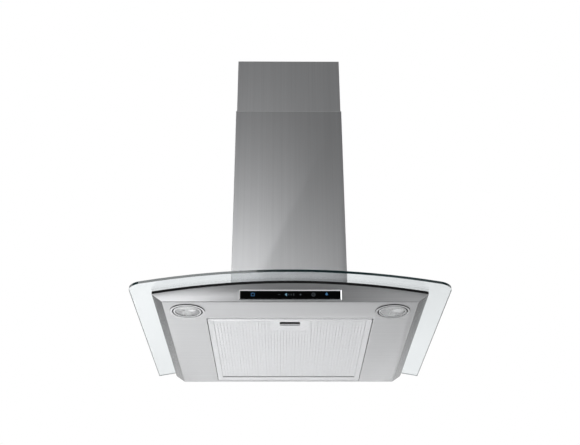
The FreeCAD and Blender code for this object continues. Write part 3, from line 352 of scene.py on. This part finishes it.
def touch_glass(name):
    """Black glass with the lit keys of the touch strip, drawn in mm from its middle."""
    finish = Finish(name, Emission_Strength=1.0, Specular_IOR_Level=0.06)
    low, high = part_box("control_glass")
    row_height = (low[2] + high[2]) / 2 / MM + 0.6
    x, _, z = finish.axes(1 / MM)
    z = z - row_height

    def ring(centre, radius, half_line):
        across = x - centre
        return abs((across * across + z * z) ** 0.5 - radius) < half_line

    def bar(centre, width, height, rise=0.0):
        return (abs(x - centre) < width / 2) * (abs(z - rise) < height / 2)

    def disc(centre, radius):
        across = x - centre
        return (across * across + z * z) < radius ** 2

    across = x + 8.4
    arrow = (abs(z) < (across + 2.2) * 0.75) * (abs(across) < 2.0)
    cup = (bar(-70.3, 7.0, 6.2) - bar(-70.3, 4.6, 3.8)).larger(bar(-70.3, 1.0, 2.6, 3.0))
    drop_width = (2.9 - z * 0.62).smaller(2.9 + z * 1.6)
    drop = (abs(x - 68.0) < drop_width) * (abs(z - 0.6) < 4.2)
    dial = ring(43.3, 3.0, 0.5).larger(bar(43.9, 1.6, 0.8)).larger(disc(19.0, 1.5))
    dash = bar(-21.1, 4.2, 1.0)
    for centre, width, height in ((-3.0, 1.4, 3.0), (1.5, 1.4, 3.6), (6.3, 1.6, 4.2)):
        dash = dash.larger(bar(centre, width, height))
    glow = (0, 0, 0)
    for mask, colour in (
        (dash, (0.045, 0.05, 0.055)),
        (dial, (0.07, 0.08, 0.09)),
        (arrow, (0.16, 0.30, 0.40)),
        (drop, (0.05, 0.14, 0.27)),
        (cup, (0.035, 0.10, 0.20)),
    ):
        glow = finish.blend(mask, glow, colour)
    smear = finish.noise(30.0)
    black, nearly_black = (0.001, 0.001, 0.001), (0.002, 0.002, 0.002)
    finish.feed("Base Color", finish.ramp(smear, black, nearly_black, FULL))
    finish.feed("Roughness", 0.2 + smear * 0.06)
    finish.feed("Emission Color", glow)
    return finish.material


def circuit_board(name):
    """Green solder mask with lighter tracks."""
    finish = Finish(name, Coat_Weight=0.4)
    x, y, z = finish.axes(1 / MM)
    tracks = (x * 1.3 + y * 0.2).math("SINE") * (z * 1.1 + y * 1.7).math("SINE") > 0.55
    mottle = finish.noise(60.0)
    base = finish.ramp(mottle, (0.02, 0.12, 0.05), (0.03, 0.17, 0.08), WIDE)
    finish.feed("Base Color", finish.blend(tracks, base, (0.10, 0.32, 0.14)))
    finish.feed("Roughness", 0.32 + mottle * 0.1)
    return finish.material


def take(piece):
    """Makes one piece the only selected and active one."""
    bpy.ops.object.select_all(action="DESELECT")
    piece.select_set(True)
    bpy.context.view_layer.objects.active = piece


def edit(piece):
    """Takes one piece into edit mode; leave() takes it out again."""
    take(piece)
    bpy.ops.object.mode_set(mode="EDIT")


def leave():
    bpy.ops.object.mode_set(mode="OBJECT")


def choose(piece, kind, test):
    """In edit mode, selects the faces, edges or corners that pass a test and counts them."""
    bpy.ops.mesh.select_mode(type=kind)
    bpy.ops.mesh.select_all(action="DESELECT")
    form = bmesh.from_edit_mesh(piece.data)
    found = 0
    for part in {"FACE": form.faces, "EDGE": form.edges, "VERT": form.verts}[kind]:
        if test(part):
            part.select_set(True)
            found += 1
    form.select_flush_mode()
    bmesh.update_edit_mesh(piece.data)
    return found


def merge_corners():
    """In edit mode, selects all and merges corners that lie on each other."""
    bpy.ops.mesh.select_all(action="SELECT")
    bpy.ops.mesh.remove_doubles(threshold=MERGE_DISTANCE)


def copy_of(node, name):
    """A free copy of a CAD node's mesh, merged and with its flat faces made whole."""
    piece = bpy.data.objects.new(name, nodes[node].data.copy())
    bpy.context.scene.collection.objects.link(piece)
    piece.data.materials.clear()
    take(piece)
    bpy.ops.mesh.customdata_custom_splitnormals_clear()
    edit(piece)
    merge_corners()
    nearly_flat = math.radians(0.4)
    bpy.ops.mesh.dissolve_limited(angle_limit=nearly_flat)
    leave()
    return piece


def smooth(piece, angle=32):
    """Smooth shading where faces meet at less than an angle in degrees."""
    take(piece)
    bpy.ops.object.shade_smooth_by_angle(angle=math.radians(angle))


def soften(piece, width, segments=2, angle=40):
    """Breaks the sharp edges of a piece by a width in mm and smooths what is round."""
    smooth(piece)
    bevel = piece.modifiers.new("soft_edges", "BEVEL")
    bevel.width = width * MM
    bevel.segments = segments
    bevel.limit_method = "ANGLE"
    bevel.angle_limit = math.radians(angle)
    bevel.harden_normals = True
    bpy.ops.object.modifier_apply(modifier=bevel.name)


def fold(piece, outer, inner):
    """Rounds the long folds of a sheet piece, outside and inside, with radii in mm."""
    shortest = 30 * MM
    least_turn = math.radians(12)
    least_face = 1.5 * MM

    def is_sheet(face):
        """Area over perimeter tells the sheet itself from its narrow cut edge."""
        return face.calc_area() > least_face * face.calc_perimeter()

    for convex, radius in ((True, outer), (False, inner)):
        edit(piece)

        def is_fold(edge):
            if len(edge.link_faces) != 2 or edge.calc_length() < shortest:
                return False
            return (
                edge.is_convex == convex
                and edge.calc_face_angle() > least_turn
                and all(is_sheet(face) for face in edge.link_faces)
            )

        if choose(piece, "EDGE", is_fold):
            bpy.ops.mesh.bevel(offset=radius * MM, segments=4, profile=0.5, affect="EDGES")
        leave()


def finish_piece(piece, material, body, slot, *replaced):
    """Gives a piece its material, its body and the CAD nodes that it stands for, which it hides.
    The slot is not used.
    """
    if material:
        piece.data.materials.append(material)
    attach(piece, body)
    if replaced:
        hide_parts(*replaced)


def set_material(node, material):
    """Gives a CAD node one material."""
    mesh = nodes[node].data
    mesh.materials.clear()
    mesh.materials.append(material)


def faces_front(face, least=0.7):
    """True where a face's normal has at least this share towards the front, which is -Y."""
    return face.normal.y < -least


def paint_faces(piece, materials, pick):
    """Gives each face the material whose number pick returns."""
    for material in materials:
        piece.data.materials.append(material)
    for face in piece.data.polygons:
        face.material_index = pick(face)


def make_camera():
    """Camera at the photograph's place: below the hood, a little to the left."""
    camera_place = Vector((-16.46, -2048.66, -869.66)) * MM
    pitch, yaw, roll = math.radians(28.2), math.radians(0.59), math.radians(-0.2)
    focal_pixels = 918.91
    image_width = 580
    data = bpy.data.cameras.new("camera")
    data.sensor_width = 36.0
    data.lens = focal_pixels * data.sensor_width / image_width
    camera = bpy.data.objects.new("camera", data)
    bpy.context.scene.collection.objects.link(camera)
    turn = Matrix.Rotation(-yaw, 4, "Z")
    turn = turn @ Matrix.Rotation(math.pi / 2 + pitch, 4, "X") @ Matrix.Rotation(roll, 4, "Z")
    camera.matrix_world = Matrix.Translation(camera_place) @ turn
    bpy.context.scene.camera = camera


def soft_box(name, place, target, size, radiance, mirrored=True):
    """Rectangular studio lamp of an even radiance; camera and glass don't show it."""
    data = bpy.data.lights.new(name, "AREA")
    data.shape = "RECTANGLE"
    data.size, data.size_y = size
    data.energy = radiance * math.pi * size[0] * size[1]
    light = bpy.data.objects.new(name, data)
    bpy.context.scene.collection.objects.link(light)
    light.visible_camera = False
    light.visible_transmission = False
    light.visible_glossy = mirrored
    turn = (Vector(target) - Vector(place)).to_track_quat("-Z", "Y").to_matrix().to_4x4()
    light.matrix_world = Matrix.Translation(place) @ turn


def light_studio():
    """Boxes in front, beside and above mirror in the steel; those over the floor only light it."""
    front_y = -2.05
    for name, x, z, size, radiance in (
        ("left_low_box", -0.66, 0.1, (0.68, 0.7), 1.85),
        ("left_high_box", -0.56, 0.68, (0.9, 0.42), 3.8),
        ("left_top_box", -0.5, 1.2, (0.8, 0.6), 0.36),
        ("right_box", 0.72, 0.2, (0.8, 0.8), 0.5),
    ):
        soft_box(name, (x, front_y, z), (x, 0, z), size, radiance)
    for name, (x, y, z), size, radiance in (
        ("floor_box", (-2.15, 2.8, -0.5), (3.0, 2.8), 2.55),
        ("far_floor_box", (0.45, 6.1, -0.6), (2.2, 1.9), 3.1),
        ("near_floor_box", (0.4, -3.0, 2.2), (3.4, 2.4), 2.6),
    ):
        # A target straight below would leave open how the lamp turns about its own axis.
        target = (x, y + 1 * MM, FLOOR_HEIGHT)
        soft_box(name, (x, y, z), target, size, radiance, mirrored=False)
    for name, x, radiance in (("left_side_box", -2.4, 1.0), ("right_side_box", 2.4, 0.3)):
        soft_box(name, (x, -0.3, 0.8), (0, -0.3, -0.1), (1.4, 1.4), radiance)
    soft_box("strip_box", (0.0, -2.5, -0.85), (0, -0.47, -0.15), (1.2, 0.4), 0.2)
    soft_box("top_box", (0.0, 0.6, 2.6), (0, 0, 0), (2.4, 2.0), 0.8)


def make_world():
    """White where the camera or the glass looks past the hood, dimmer for all else."""
    world = bpy.data.worlds.new("studio")
    bpy.context.scene.world = world
    world.use_nodes = True
    tree = world.node_tree
    background = tree.nodes["Background"]
    background.inputs["Color"].default_value = (1, 1, 1, 1)
    path = tree.nodes.new("ShaderNodeLightPath")
    coordinates = tree.nodes.new("ShaderNodeTexCoord")
    split = tree.nodes.new("ShaderNodeSeparateXYZ")
    tree.links.new(coordinates.outputs["Generated"], split.inputs[0])
    side, back, up = [Wire(tree, split.outputs[axis]) for axis in "XYZ"]
    camera = Wire(tree, path.outputs["Is Camera Ray"])
    gloss = Wire(tree, path.outputs["Is Glossy Ray"])
    bounces = Wire(tree, path.outputs["Glossy Depth"]) + Wire(tree, path.outputs["Diffuse Depth"])
    through = Wire(tree, path.outputs["Is Transmission Ray"]) * (bounces < 0.5)
    # Behind the hood: a backdrop, lit in its middle and a little less at the left.
    rear_level, middle_gain, above_gain, above_middle_gain = 0.10, 0.75, 0.12, 0.28
    behind = back.rise(-0.2, 2.5)
    above = up.rise(0.0, 2.0)
    middle = abs(side + 0.008).fall(0.455, 6.8) * (0.95 + side * 0.5).smaller(1.0)
    high_rear = above * (above_gain + middle * above_middle_gain)
    rear = (rear_level + middle * middle_gain + high_rear).limited()
    # In front: a dark room with a paler ceiling.
    room_level, ceiling_gain = 0.09, 0.12
    room = room_level + up.rise(0.52, 8.0) * ceiling_gain
    level = room + (rear - room) * behind
    shown = camera.larger(through).larger(gloss * behind * up.rise(0.25, 4.0))
    # Through the pane the backdrop is dimmer high at the right and low at the left.
    right_loss, left_loss = 0.17, 0.1
    high_right = up.rise(0.35, 14.0) * side.rise(0.06, 12.0) * right_loss
    low_left = up.fall(0.37, 20.0) * side.fall(-0.05, 10.0) * left_loss
    strength = (level + (1.0 - level) * shown) * (1.0 - through * (high_right + low_left))
    tree.links.new(strength.socket, background.inputs["Strength"])


def make_floor():
    """Pale kitchen floor at its real distance under the hood."""
    bpy.ops.mesh.primitive_plane_add(size=14.0, location=(0, 0, FLOOR_HEIGHT))
    floor = bpy.context.object
    floor.name = "floor"
    finish = Finish("floor_paint", Roughness=0.8)
    spots = finish.noise(3.0)
    finish.feed("Base Color", finish.ramp(spots, (0.80, 0.80, 0.80), (0.84, 0.84, 0.84), WIDE))
    floor.data.materials.append(finish.material)


def dress_nodes():
    """Gives every CAD node the material of its slot."""
    by_slot = {
        "stainless": canopy_steel,
        "satin_steel": plain_metal("satin_ring", (0.78, 0.79, 0.80), 0.25),
        "polished_steel": plain_metal("polished_steel", (0.80, 0.81, 0.82), 0.12, grain=0.02),
        "zinc_steel": plain_metal("zinc_plate", (0.55, 0.56, 0.57), 0.45),
        "clear_glass": canopy_glass,
        "black_glass": touch_glass("touch_glass"),
        "lamp_glass": frosted_glass("lamp_glass"),
        "lamp_trim": plain_metal("lamp_trim", (0.63, 0.64, 0.65), 0.16, grain=0.02),
        "mirror_aluminium": plain_metal(
            "reflector_aluminium", (0.92, 0.93, 0.94), 0.22, grain=0.02
        ),
        "aluminium": plain_metal("aluminium", (0.82, 0.83, 0.84), 0.35),
        "aluminium_mesh": mesh_aluminium("aluminium_mesh"),
        "black_rubber": moulded("black_rubber", (0.006, 0.006, 0.007), 0.6),
        "grey_plastic": moulded("grey_plastic", (0.35, 0.36, 0.37), 0.5),
        "dark_plastic": moulded("dark_plastic", (0.03, 0.03, 0.033), 0.45),
        "white_plastic": moulded("white_plastic", (0.8, 0.8, 0.79), 0.4),
        "circuit_board": circuit_board("circuit_board"),
    }
    for entry in frame["record"]["subparts"]:
        set_material(entry["node"], by_slot[entry["material_slot"]])
    return by_slot


def make_canopy():
    """Folded canopy body with rounded folds; fascia and underside are brushed along X. The one
    sheet is painted in lighter and darker copies of its steel: the fascia lighter and the facets
    darker, and the fold into the underside dark as painted shade. The rim of the filter's opening
    is also painted dark as shade.
    """
    body = copy_of("canopy_panel", "canopy_body")
    fold(body, outer=2.2, inner=0.8)
    soften(body, 0.1, segments=1)
    # Painted shade: the fold between fascia and underside is a much darker copy of the steel.
    bend_shade_steel = brushed_steel("bend_shade_steel", GRAIN_X, 0.36, 0.32)
    plain, fascia, opening, bend, facet = range(5)
    filter_low, filter_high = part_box("filter_frame")
    margin = 3 * MM
    opening_side = filter_high[0] + margin
    opening_front, opening_back = filter_low[1] - margin, -8 * MM
    opening_low, opening_high = filter_low[2] - 0.5 * MM, filter_low[2] + 1.2 * MM
    # The fold between fascia and underside lies in front of this.
    front_bend = -450 * MM

    def in_opening(place):
        """True for the low rim of the hole in which the filter sits."""
        return (
            abs(place.x) < opening_side
            and opening_front < place.y < opening_back
            and opening_low < place.z < opening_high
        )

    def pick(face):
        """The number of the face's steel, by where the face lies and where it looks."""
        place, normal = face.center, face.normal
        upright = abs(normal.z) < 0.3
        if upright and in_opening(place):
            return opening
        slanted = abs(normal.x) > 0.4 and normal.z < -0.4
        if slanted:
            return facet
        turning_down = -0.97 < normal.y < -0.25 and normal.z < -0.2
        if turning_down and place.y < front_bend:
            return bend
        return fascia if faces_front(face) else plain

    steels = (canopy_steel, fascia_light_steel, painted_gap_shade, bend_shade_steel, facet_shade_steel)
    paint_faces(body, steels, pick)
    finish_piece(body, None, "hood", "stainless", "canopy_panel")


def lean_top_edge(cover, cut, top, front):
    """Parts a cover's top edge off by a sharp line and leans its front back a little."""
    near = 0.05 * MM
    lean = 0.1 * MM
    edit(cover)
    bpy.ops.mesh.select_all(action="SELECT")
    bpy.ops.mesh.bisect(plane_co=(0, 0, cut), plane_no=(0, 0, 1))
    choose(cover, "EDGE", lambda edge: all(abs(vert.co.z - cut) < near for vert in edge.verts))
    bpy.ops.mesh.mark_sharp()
    choose(cover, "VERT", lambda vert: vert.co.z > top - near and vert.co.y < front + near)
    bpy.ops.transform.translate(value=(0, lean, 0))
    leave()


def make_chimney():
    """Two folded covers; the lower one's top edge leans back to catch the light and is also
    painted much lighter than the cover, as a painted highlight.
    """
    edge_height = 1.9 * MM
    for node, name, rider, steel in (
        ("chimney_lower", "chimney_lower_cover", "hood", chimney_steel),
        ("chimney_upper", "chimney_upper_cover", "chimney_upper", upper_steel),
    ):
        cover = copy_of(node, name)
        fold(cover, outer=1.2, inner=0.4)
        (_, front, _), (_, _, top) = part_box(node)
        cut = top - edge_height
        leaning = node == "chimney_lower"
        if leaning:
            lean_top_edge(cover, cut, top, front)
        soften(cover, 0.15, segments=1)
        # The leaning top edge is painted in the far lighter edge steel: a painted highlight.
        paint_faces(
            cover,
            (steel, edge_highlight_steel),
            lambda face: int(leaning and face.center.z > cut and faces_front(face, 0.5)),
        )
        finish_piece(cover, None, rider, "stainless", node)


def make_glass():
    """Arched pane with an arrised rim; the rim is painted as the depth of the glass shows it, dark
    at the front and pale at the sides, as painted shade and painted reflection.
    """
    pane = copy_of("glass_canopy", "glass_pane")
    soften(pane, 0.6, segments=2, angle=50)
    # One edge in two copies: the front rim painted dark and the side rims pale, as painted shade
    # and painted reflection.
    front = glass_rim("glass_front_rim_shade", (0.004, 0.022, 0.025), 0.15)
    side = glass_rim("glass_side_rim_light", (0.30, 0.40, 0.40), 0.2)

    def pick(face):
        flat = abs(face.normal.z) > 0.93
        if flat:
            return 0
        return 1 if faces_front(face, 0.4) else 2

    paint_faces(pane, (canopy_glass, front, side), pick)
    finish_piece(pane, None, "hood", "clear_glass", "glass_canopy")


def make_filter_frame():
    """Folded frame; the wall that faces the front at its back border is painted dark, as painted
    shade in the gap behind the filter.
    """
    back_border, fold_top = -60 * MM, -188.9 * MM
    folded = copy_of("filter_frame", "filter_frame_folded")
    soften(folded, 0.15)
    paint_faces(
        folded,
        (frame_aluminium("frame_aluminium"), painted_gap_shade),
        lambda face: int(
            faces_front(face) and face.center.y > back_border and face.center.z < fold_top
        ),
    )
    finish_piece(folded, None, "filter", "aluminium", "filter_frame")


def make_slot_sheet():
    """Lower sheet of the filter with its rows of fine slots, left open for the latch's plate."""
    low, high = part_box("filter_face_mesh")
    plate_half, plate_front = 40.4 * MM, -323.9 * MM
    columns_in_plate, columns = 13, 51
    rows_in_front, rows = 3, 19
    pitch_x, pitch_y = 2 * plate_half / columns_in_plate, 18.8 * MM
    bar_half = 2.72 * MM
    front = plate_front - rows_in_front * pitch_y
    bpy.ops.object.select_all(action="DESELECT")
    bpy.ops.mesh.primitive_grid_add(
        x_subdivisions=columns,
        y_subdivisions=rows,
        size=1.0,
        location=(0, front + rows * pitch_y / 2, low[2]),
    )
    sheet = bpy.context.object
    sheet.name = "filter_slot_sheet"
    sheet.scale = (columns * pitch_x, rows * pitch_y, 1)
    bpy.ops.object.transform_apply(location=True, rotation=True, scale=True)
    edit(sheet)

    def under_plate(face):
        middle = face.calc_center_median()
        return abs(middle.x) < plate_half and middle.y < plate_front

    choose(sheet, "FACE", under_plate)
    bpy.ops.mesh.delete(type="FACE")
    bpy.ops.mesh.select_all(action="SELECT")
    bpy.ops.mesh.inset(thickness=bar_half, use_individual=True)
    bpy.ops.mesh.delete(type="FACE")
    leave()
    wall = sheet.modifiers.new("wall", "SOLIDIFY")
    wall.thickness = high[2] - low[2]
    wall.offset = 1.0
    take(sheet)
    bpy.ops.object.modifier_apply(modifier=wall.name)
    finish_piece(sheet, slots["aluminium_mesh"], "filter", "aluminium_mesh", "filter_face_mesh")


def make_latch():
    """Plate with the finger slot, slider, and springs; the springs' shortest length with the
    slider back is worked out but not used.
    """
    plate = copy_of("latch_housing", "latch_plate")
    soften(plate, 0.2)
    finish_piece(plate, slots["aluminium_mesh"], "filter", "aluminium", "latch_housing")
    latch = copy_of("filter_latch", "latch_slider")
    soften(latch, 0.15)
    finish_piece(latch, latch_finish("latch_and_slot_shade"), "latch", "aluminium", "filter_latch")
    coils = copy_of("latch_springs", "latch_coils")
    smooth(coils, angle=60)
    finish_piece(coils, slots["polished_steel"], "filter", "polished_steel", "latch_springs")
    low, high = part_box("latch_springs")
    joints = frame["record"]["behaviour"]["joints"]
    (slide,) = [joint for joint in joints if joint["name"] == "latch_slide"]
    length = high[1] - low[1]
    shortest = (length - slide["range_m"][1]) / length
    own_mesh(coils)


def make_strip():
    """Bright thin frame of the touch strip, whose four bars slope down to the glass."""
    bright = copy_of("control_frame", "strip_frame")
    fascia_run, fascia_rise = 4.4, 36.6
    fascia_slope = fascia_run / fascia_rise
    glass_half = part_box("control_glass")[1][0]
    near = 0.3 * MM
    slope_depth = 0.6 * MM

    def out_of_fascia(vert):
        return vert.co.y + vert.co.z * fascia_slope

    nearest = min(out_of_fascia(vert) for vert in bright.data.vertices)

    def at_inner_front(vert):
        return abs(vert.co.x) < glass_half + near and out_of_fascia(vert) < nearest + near

    edit(bright)
    bpy.ops.mesh.select_all(action="SELECT")
    bpy.ops.mesh.quads_convert_to_tris(quad_method="BEAUTY", ngon_method="BEAUTY")
    choose(bright, "VERT", at_inner_front)
    bpy.ops.transform.translate(value=(0, slope_depth, slope_depth * fascia_slope))
    leave()
    smooth(bright, angle=5)
    finish_piece(bright, slots["polished_steel"], "hood", "polished_steel", "control_frame")


def lathe(name, centre, profile):
    """Round piece: a circle, extruded and scaled along (radius, height) in mm, then closed."""
    x, y, base = centre
    radius, height = profile[0]
    steps = 96
    bpy.ops.object.select_all(action="DESELECT")
    bpy.ops.mesh.primitive_circle_add(
        vertices=steps, radius=radius * MM, location=(x, y, base + height * MM)
    )
    piece = bpy.context.object
    piece.name = name
    bpy.ops.object.transform_apply(location=True, rotation=True, scale=True)
    edit(piece)
    bpy.ops.mesh.select_mode(type="VERT")
    bpy.ops.mesh.select_all(action="SELECT")
    for next_radius, next_height in profile[1:]:
        rise = (next_height - height) * MM
        bpy.ops.mesh.extrude_region_move(TRANSFORM_OT_translate={"value": (0, 0, rise)})
        share = next_radius / radius
        pivot = (x, y, base + next_height * MM)
        bpy.ops.transform.resize(value=(share, share, 1), center_override=pivot)
        radius, height = next_radius, next_height
    merge_corners()
    bpy.ops.mesh.fill_holes(sides=0)
    bpy.ops.mesh.select_all(action="SELECT")
    bpy.ops.mesh.normals_make_consistent(inside=False)
    leave()
    return piece


# Profiles of the lamps' round pieces: radius, and height above the canopy's underside, in mm.
BEZEL_PROFILE = (
    (33.5, 0.0), (33.5, -1.2), (33.1, -1.6), (29.3, -1.6), (28.8, -1.2),
    (28.8, 7.9), (29.85, 7.9), (29.85, 0.0), (33.5, 0.0),
)
RING_PROFILE = (
    (23.1, -1.1), (23.6, -1.6), (26.5, -1.6), (27.0, -1.1),
    (27.0, 3.9), (23.75, 3.9), (23.75, 1.7), (23.1, 1.7), (23.1, -1.1),
)
LENS_PROFILE = (
    (0.6, 3.9), (23.4, 3.9), (23.4, 2.0), (22.9, 2.0), (22.9, -0.6), (21.5, -0.9),
    (18.5, -1.2), (14.0, -1.42), (9.0, -1.54), (4.0, -1.59), (0.6, -1.6),
)
BOWL_PROFILE = (
    (23.1, 4.3), (22.7, 6.5), (21.0, 8.9), (17.6, 11.1), (13.0, 12.6), (9.0, 13.25),
    (6.0, 13.45), (6.0, 13.95), (9.0, 13.75), (13.2, 13.1), (18.0, 11.55), (21.5, 9.2),
    (23.2, 6.6), (23.6, 4.8), (27.0, 4.8), (27.0, 4.3), (23.1, 4.3),
)


def make_lamps():
    """Trim ring, retaining ring, domed lens and bowl; the walls of the groove between the rings
    and the trim's outer wall are painted black as shade.
    """
    bulb_glass = clear_glass("bulb_glass", (0.97, 0.97, 0.97))
    # Bright trim and black rubber; the black is painted shade in the groove and on the trim's
    # outer wall.
    trim_and_painted_shade = (slots["lamp_trim"], slots["black_rubber"])
    groove_radius = 26 * MM
    lens_height = 4 * MM
    # Strength of each lens's painted highlight.
    for side, painted_glint in (("left", 0.7), ("right", 1.3)):
        low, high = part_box("lamp_lens_" + side)
        x, y = (low[0] + high[0]) / 2, (low[1] + high[1]) / 2
        centre = (x, y, high[2] - lens_height)

        def facing(face):
            """The radius at which an upright wall lies, below zero where it faces outwards."""
            return face.normal.x * (x - face.center.x) + face.normal.y * (y - face.center.y)

        bezel = lathe("bezel_" + side, centre, BEZEL_PROFILE)
        soften(bezel, 0.1)
        paint_faces(bezel, trim_and_painted_shade, lambda face: int(abs(facing(face)) > groove_radius))
        finish_piece(bezel, None, "hood", "satin_steel", "lamp_bezel_" + side)
        ring = lathe("lens_ring_" + side, centre, RING_PROFILE)
        soften(ring, 0.1)
        paint_faces(ring, trim_and_painted_shade, lambda face: int(facing(face) < -groove_radius))
        finish_piece(ring, None, "hood", "satin_steel", "lamp_ring_" + side)
        lens = lathe("lens_" + side, centre, LENS_PROFILE)
        smooth(lens, angle=25)
        silvered = frosted_glass("lens_glass_" + side, (x, y), painted_glint)
        finish_piece(lens, silvered, "hood", "lamp_glass", "lamp_lens_" + side)
        bowl = lathe("bowl_" + side, centre, BOWL_PROFILE)
        smooth(bowl, angle=35)
        mirror = slots["mirror_aluminium"]
        finish_piece(bowl, mirror, "hood", "mirror_aluminium", "lamp_reflector_" + side)
        set_material("lamp_bulb_" + side, bulb_glass)


bpy.context.scene.view_settings.view_transform = "Standard"
make_camera()
make_world()
make_floor()
light_studio()
# The canopy's steels are copies of one steel: the fascia is painted lighter and the facets darker,
# as painted light and shade. Their grain and gloss are the steel's own.
canopy_steel = brushed_steel("canopy_steel", GRAIN_X, 0.63, 0.3)
facet_shade_steel = brushed_steel("facet_shade_steel", GRAIN_Y, 0.56, 0.2)
fascia_light_steel = brushed_steel(
    "fascia_light_steel", GRAIN_X, 0.74, 0.3, Anisotropic=0.5, Anisotropic_Rotation=0.25
)
chimney_steel = brushed_steel("chimney_steel", GRAIN_Z, 0.67, 0.42, Anisotropic=0.5)
# The lower cover's top edge in a far lighter copy of the steel: a painted highlight.
edge_highlight_steel = brushed_steel("cover_edge_highlight_steel", GRAIN_Z, 0.96, 0.42, Anisotropic=0.5)
upper_steel = brushed_steel("upper_chimney_steel", GRAIN_Z, 0.80, 0.42, Anisotropic=0.5)
# Near-black metal painted on the walls that face into the gaps round the filter: painted shade.
painted_gap_shade = plain_metal("painted_gap_shade", (0.12, 0.12, 0.125), 0.5)
canopy_glass = clear_glass("canopy_glass", (0.885, 0.922, 0.934))
slots = dress_nodes()
make_canopy()
make_chimney()
make_glass()
make_filter_frame()
make_slot_sheet()
make_latch()
make_strip()
make_lamps()
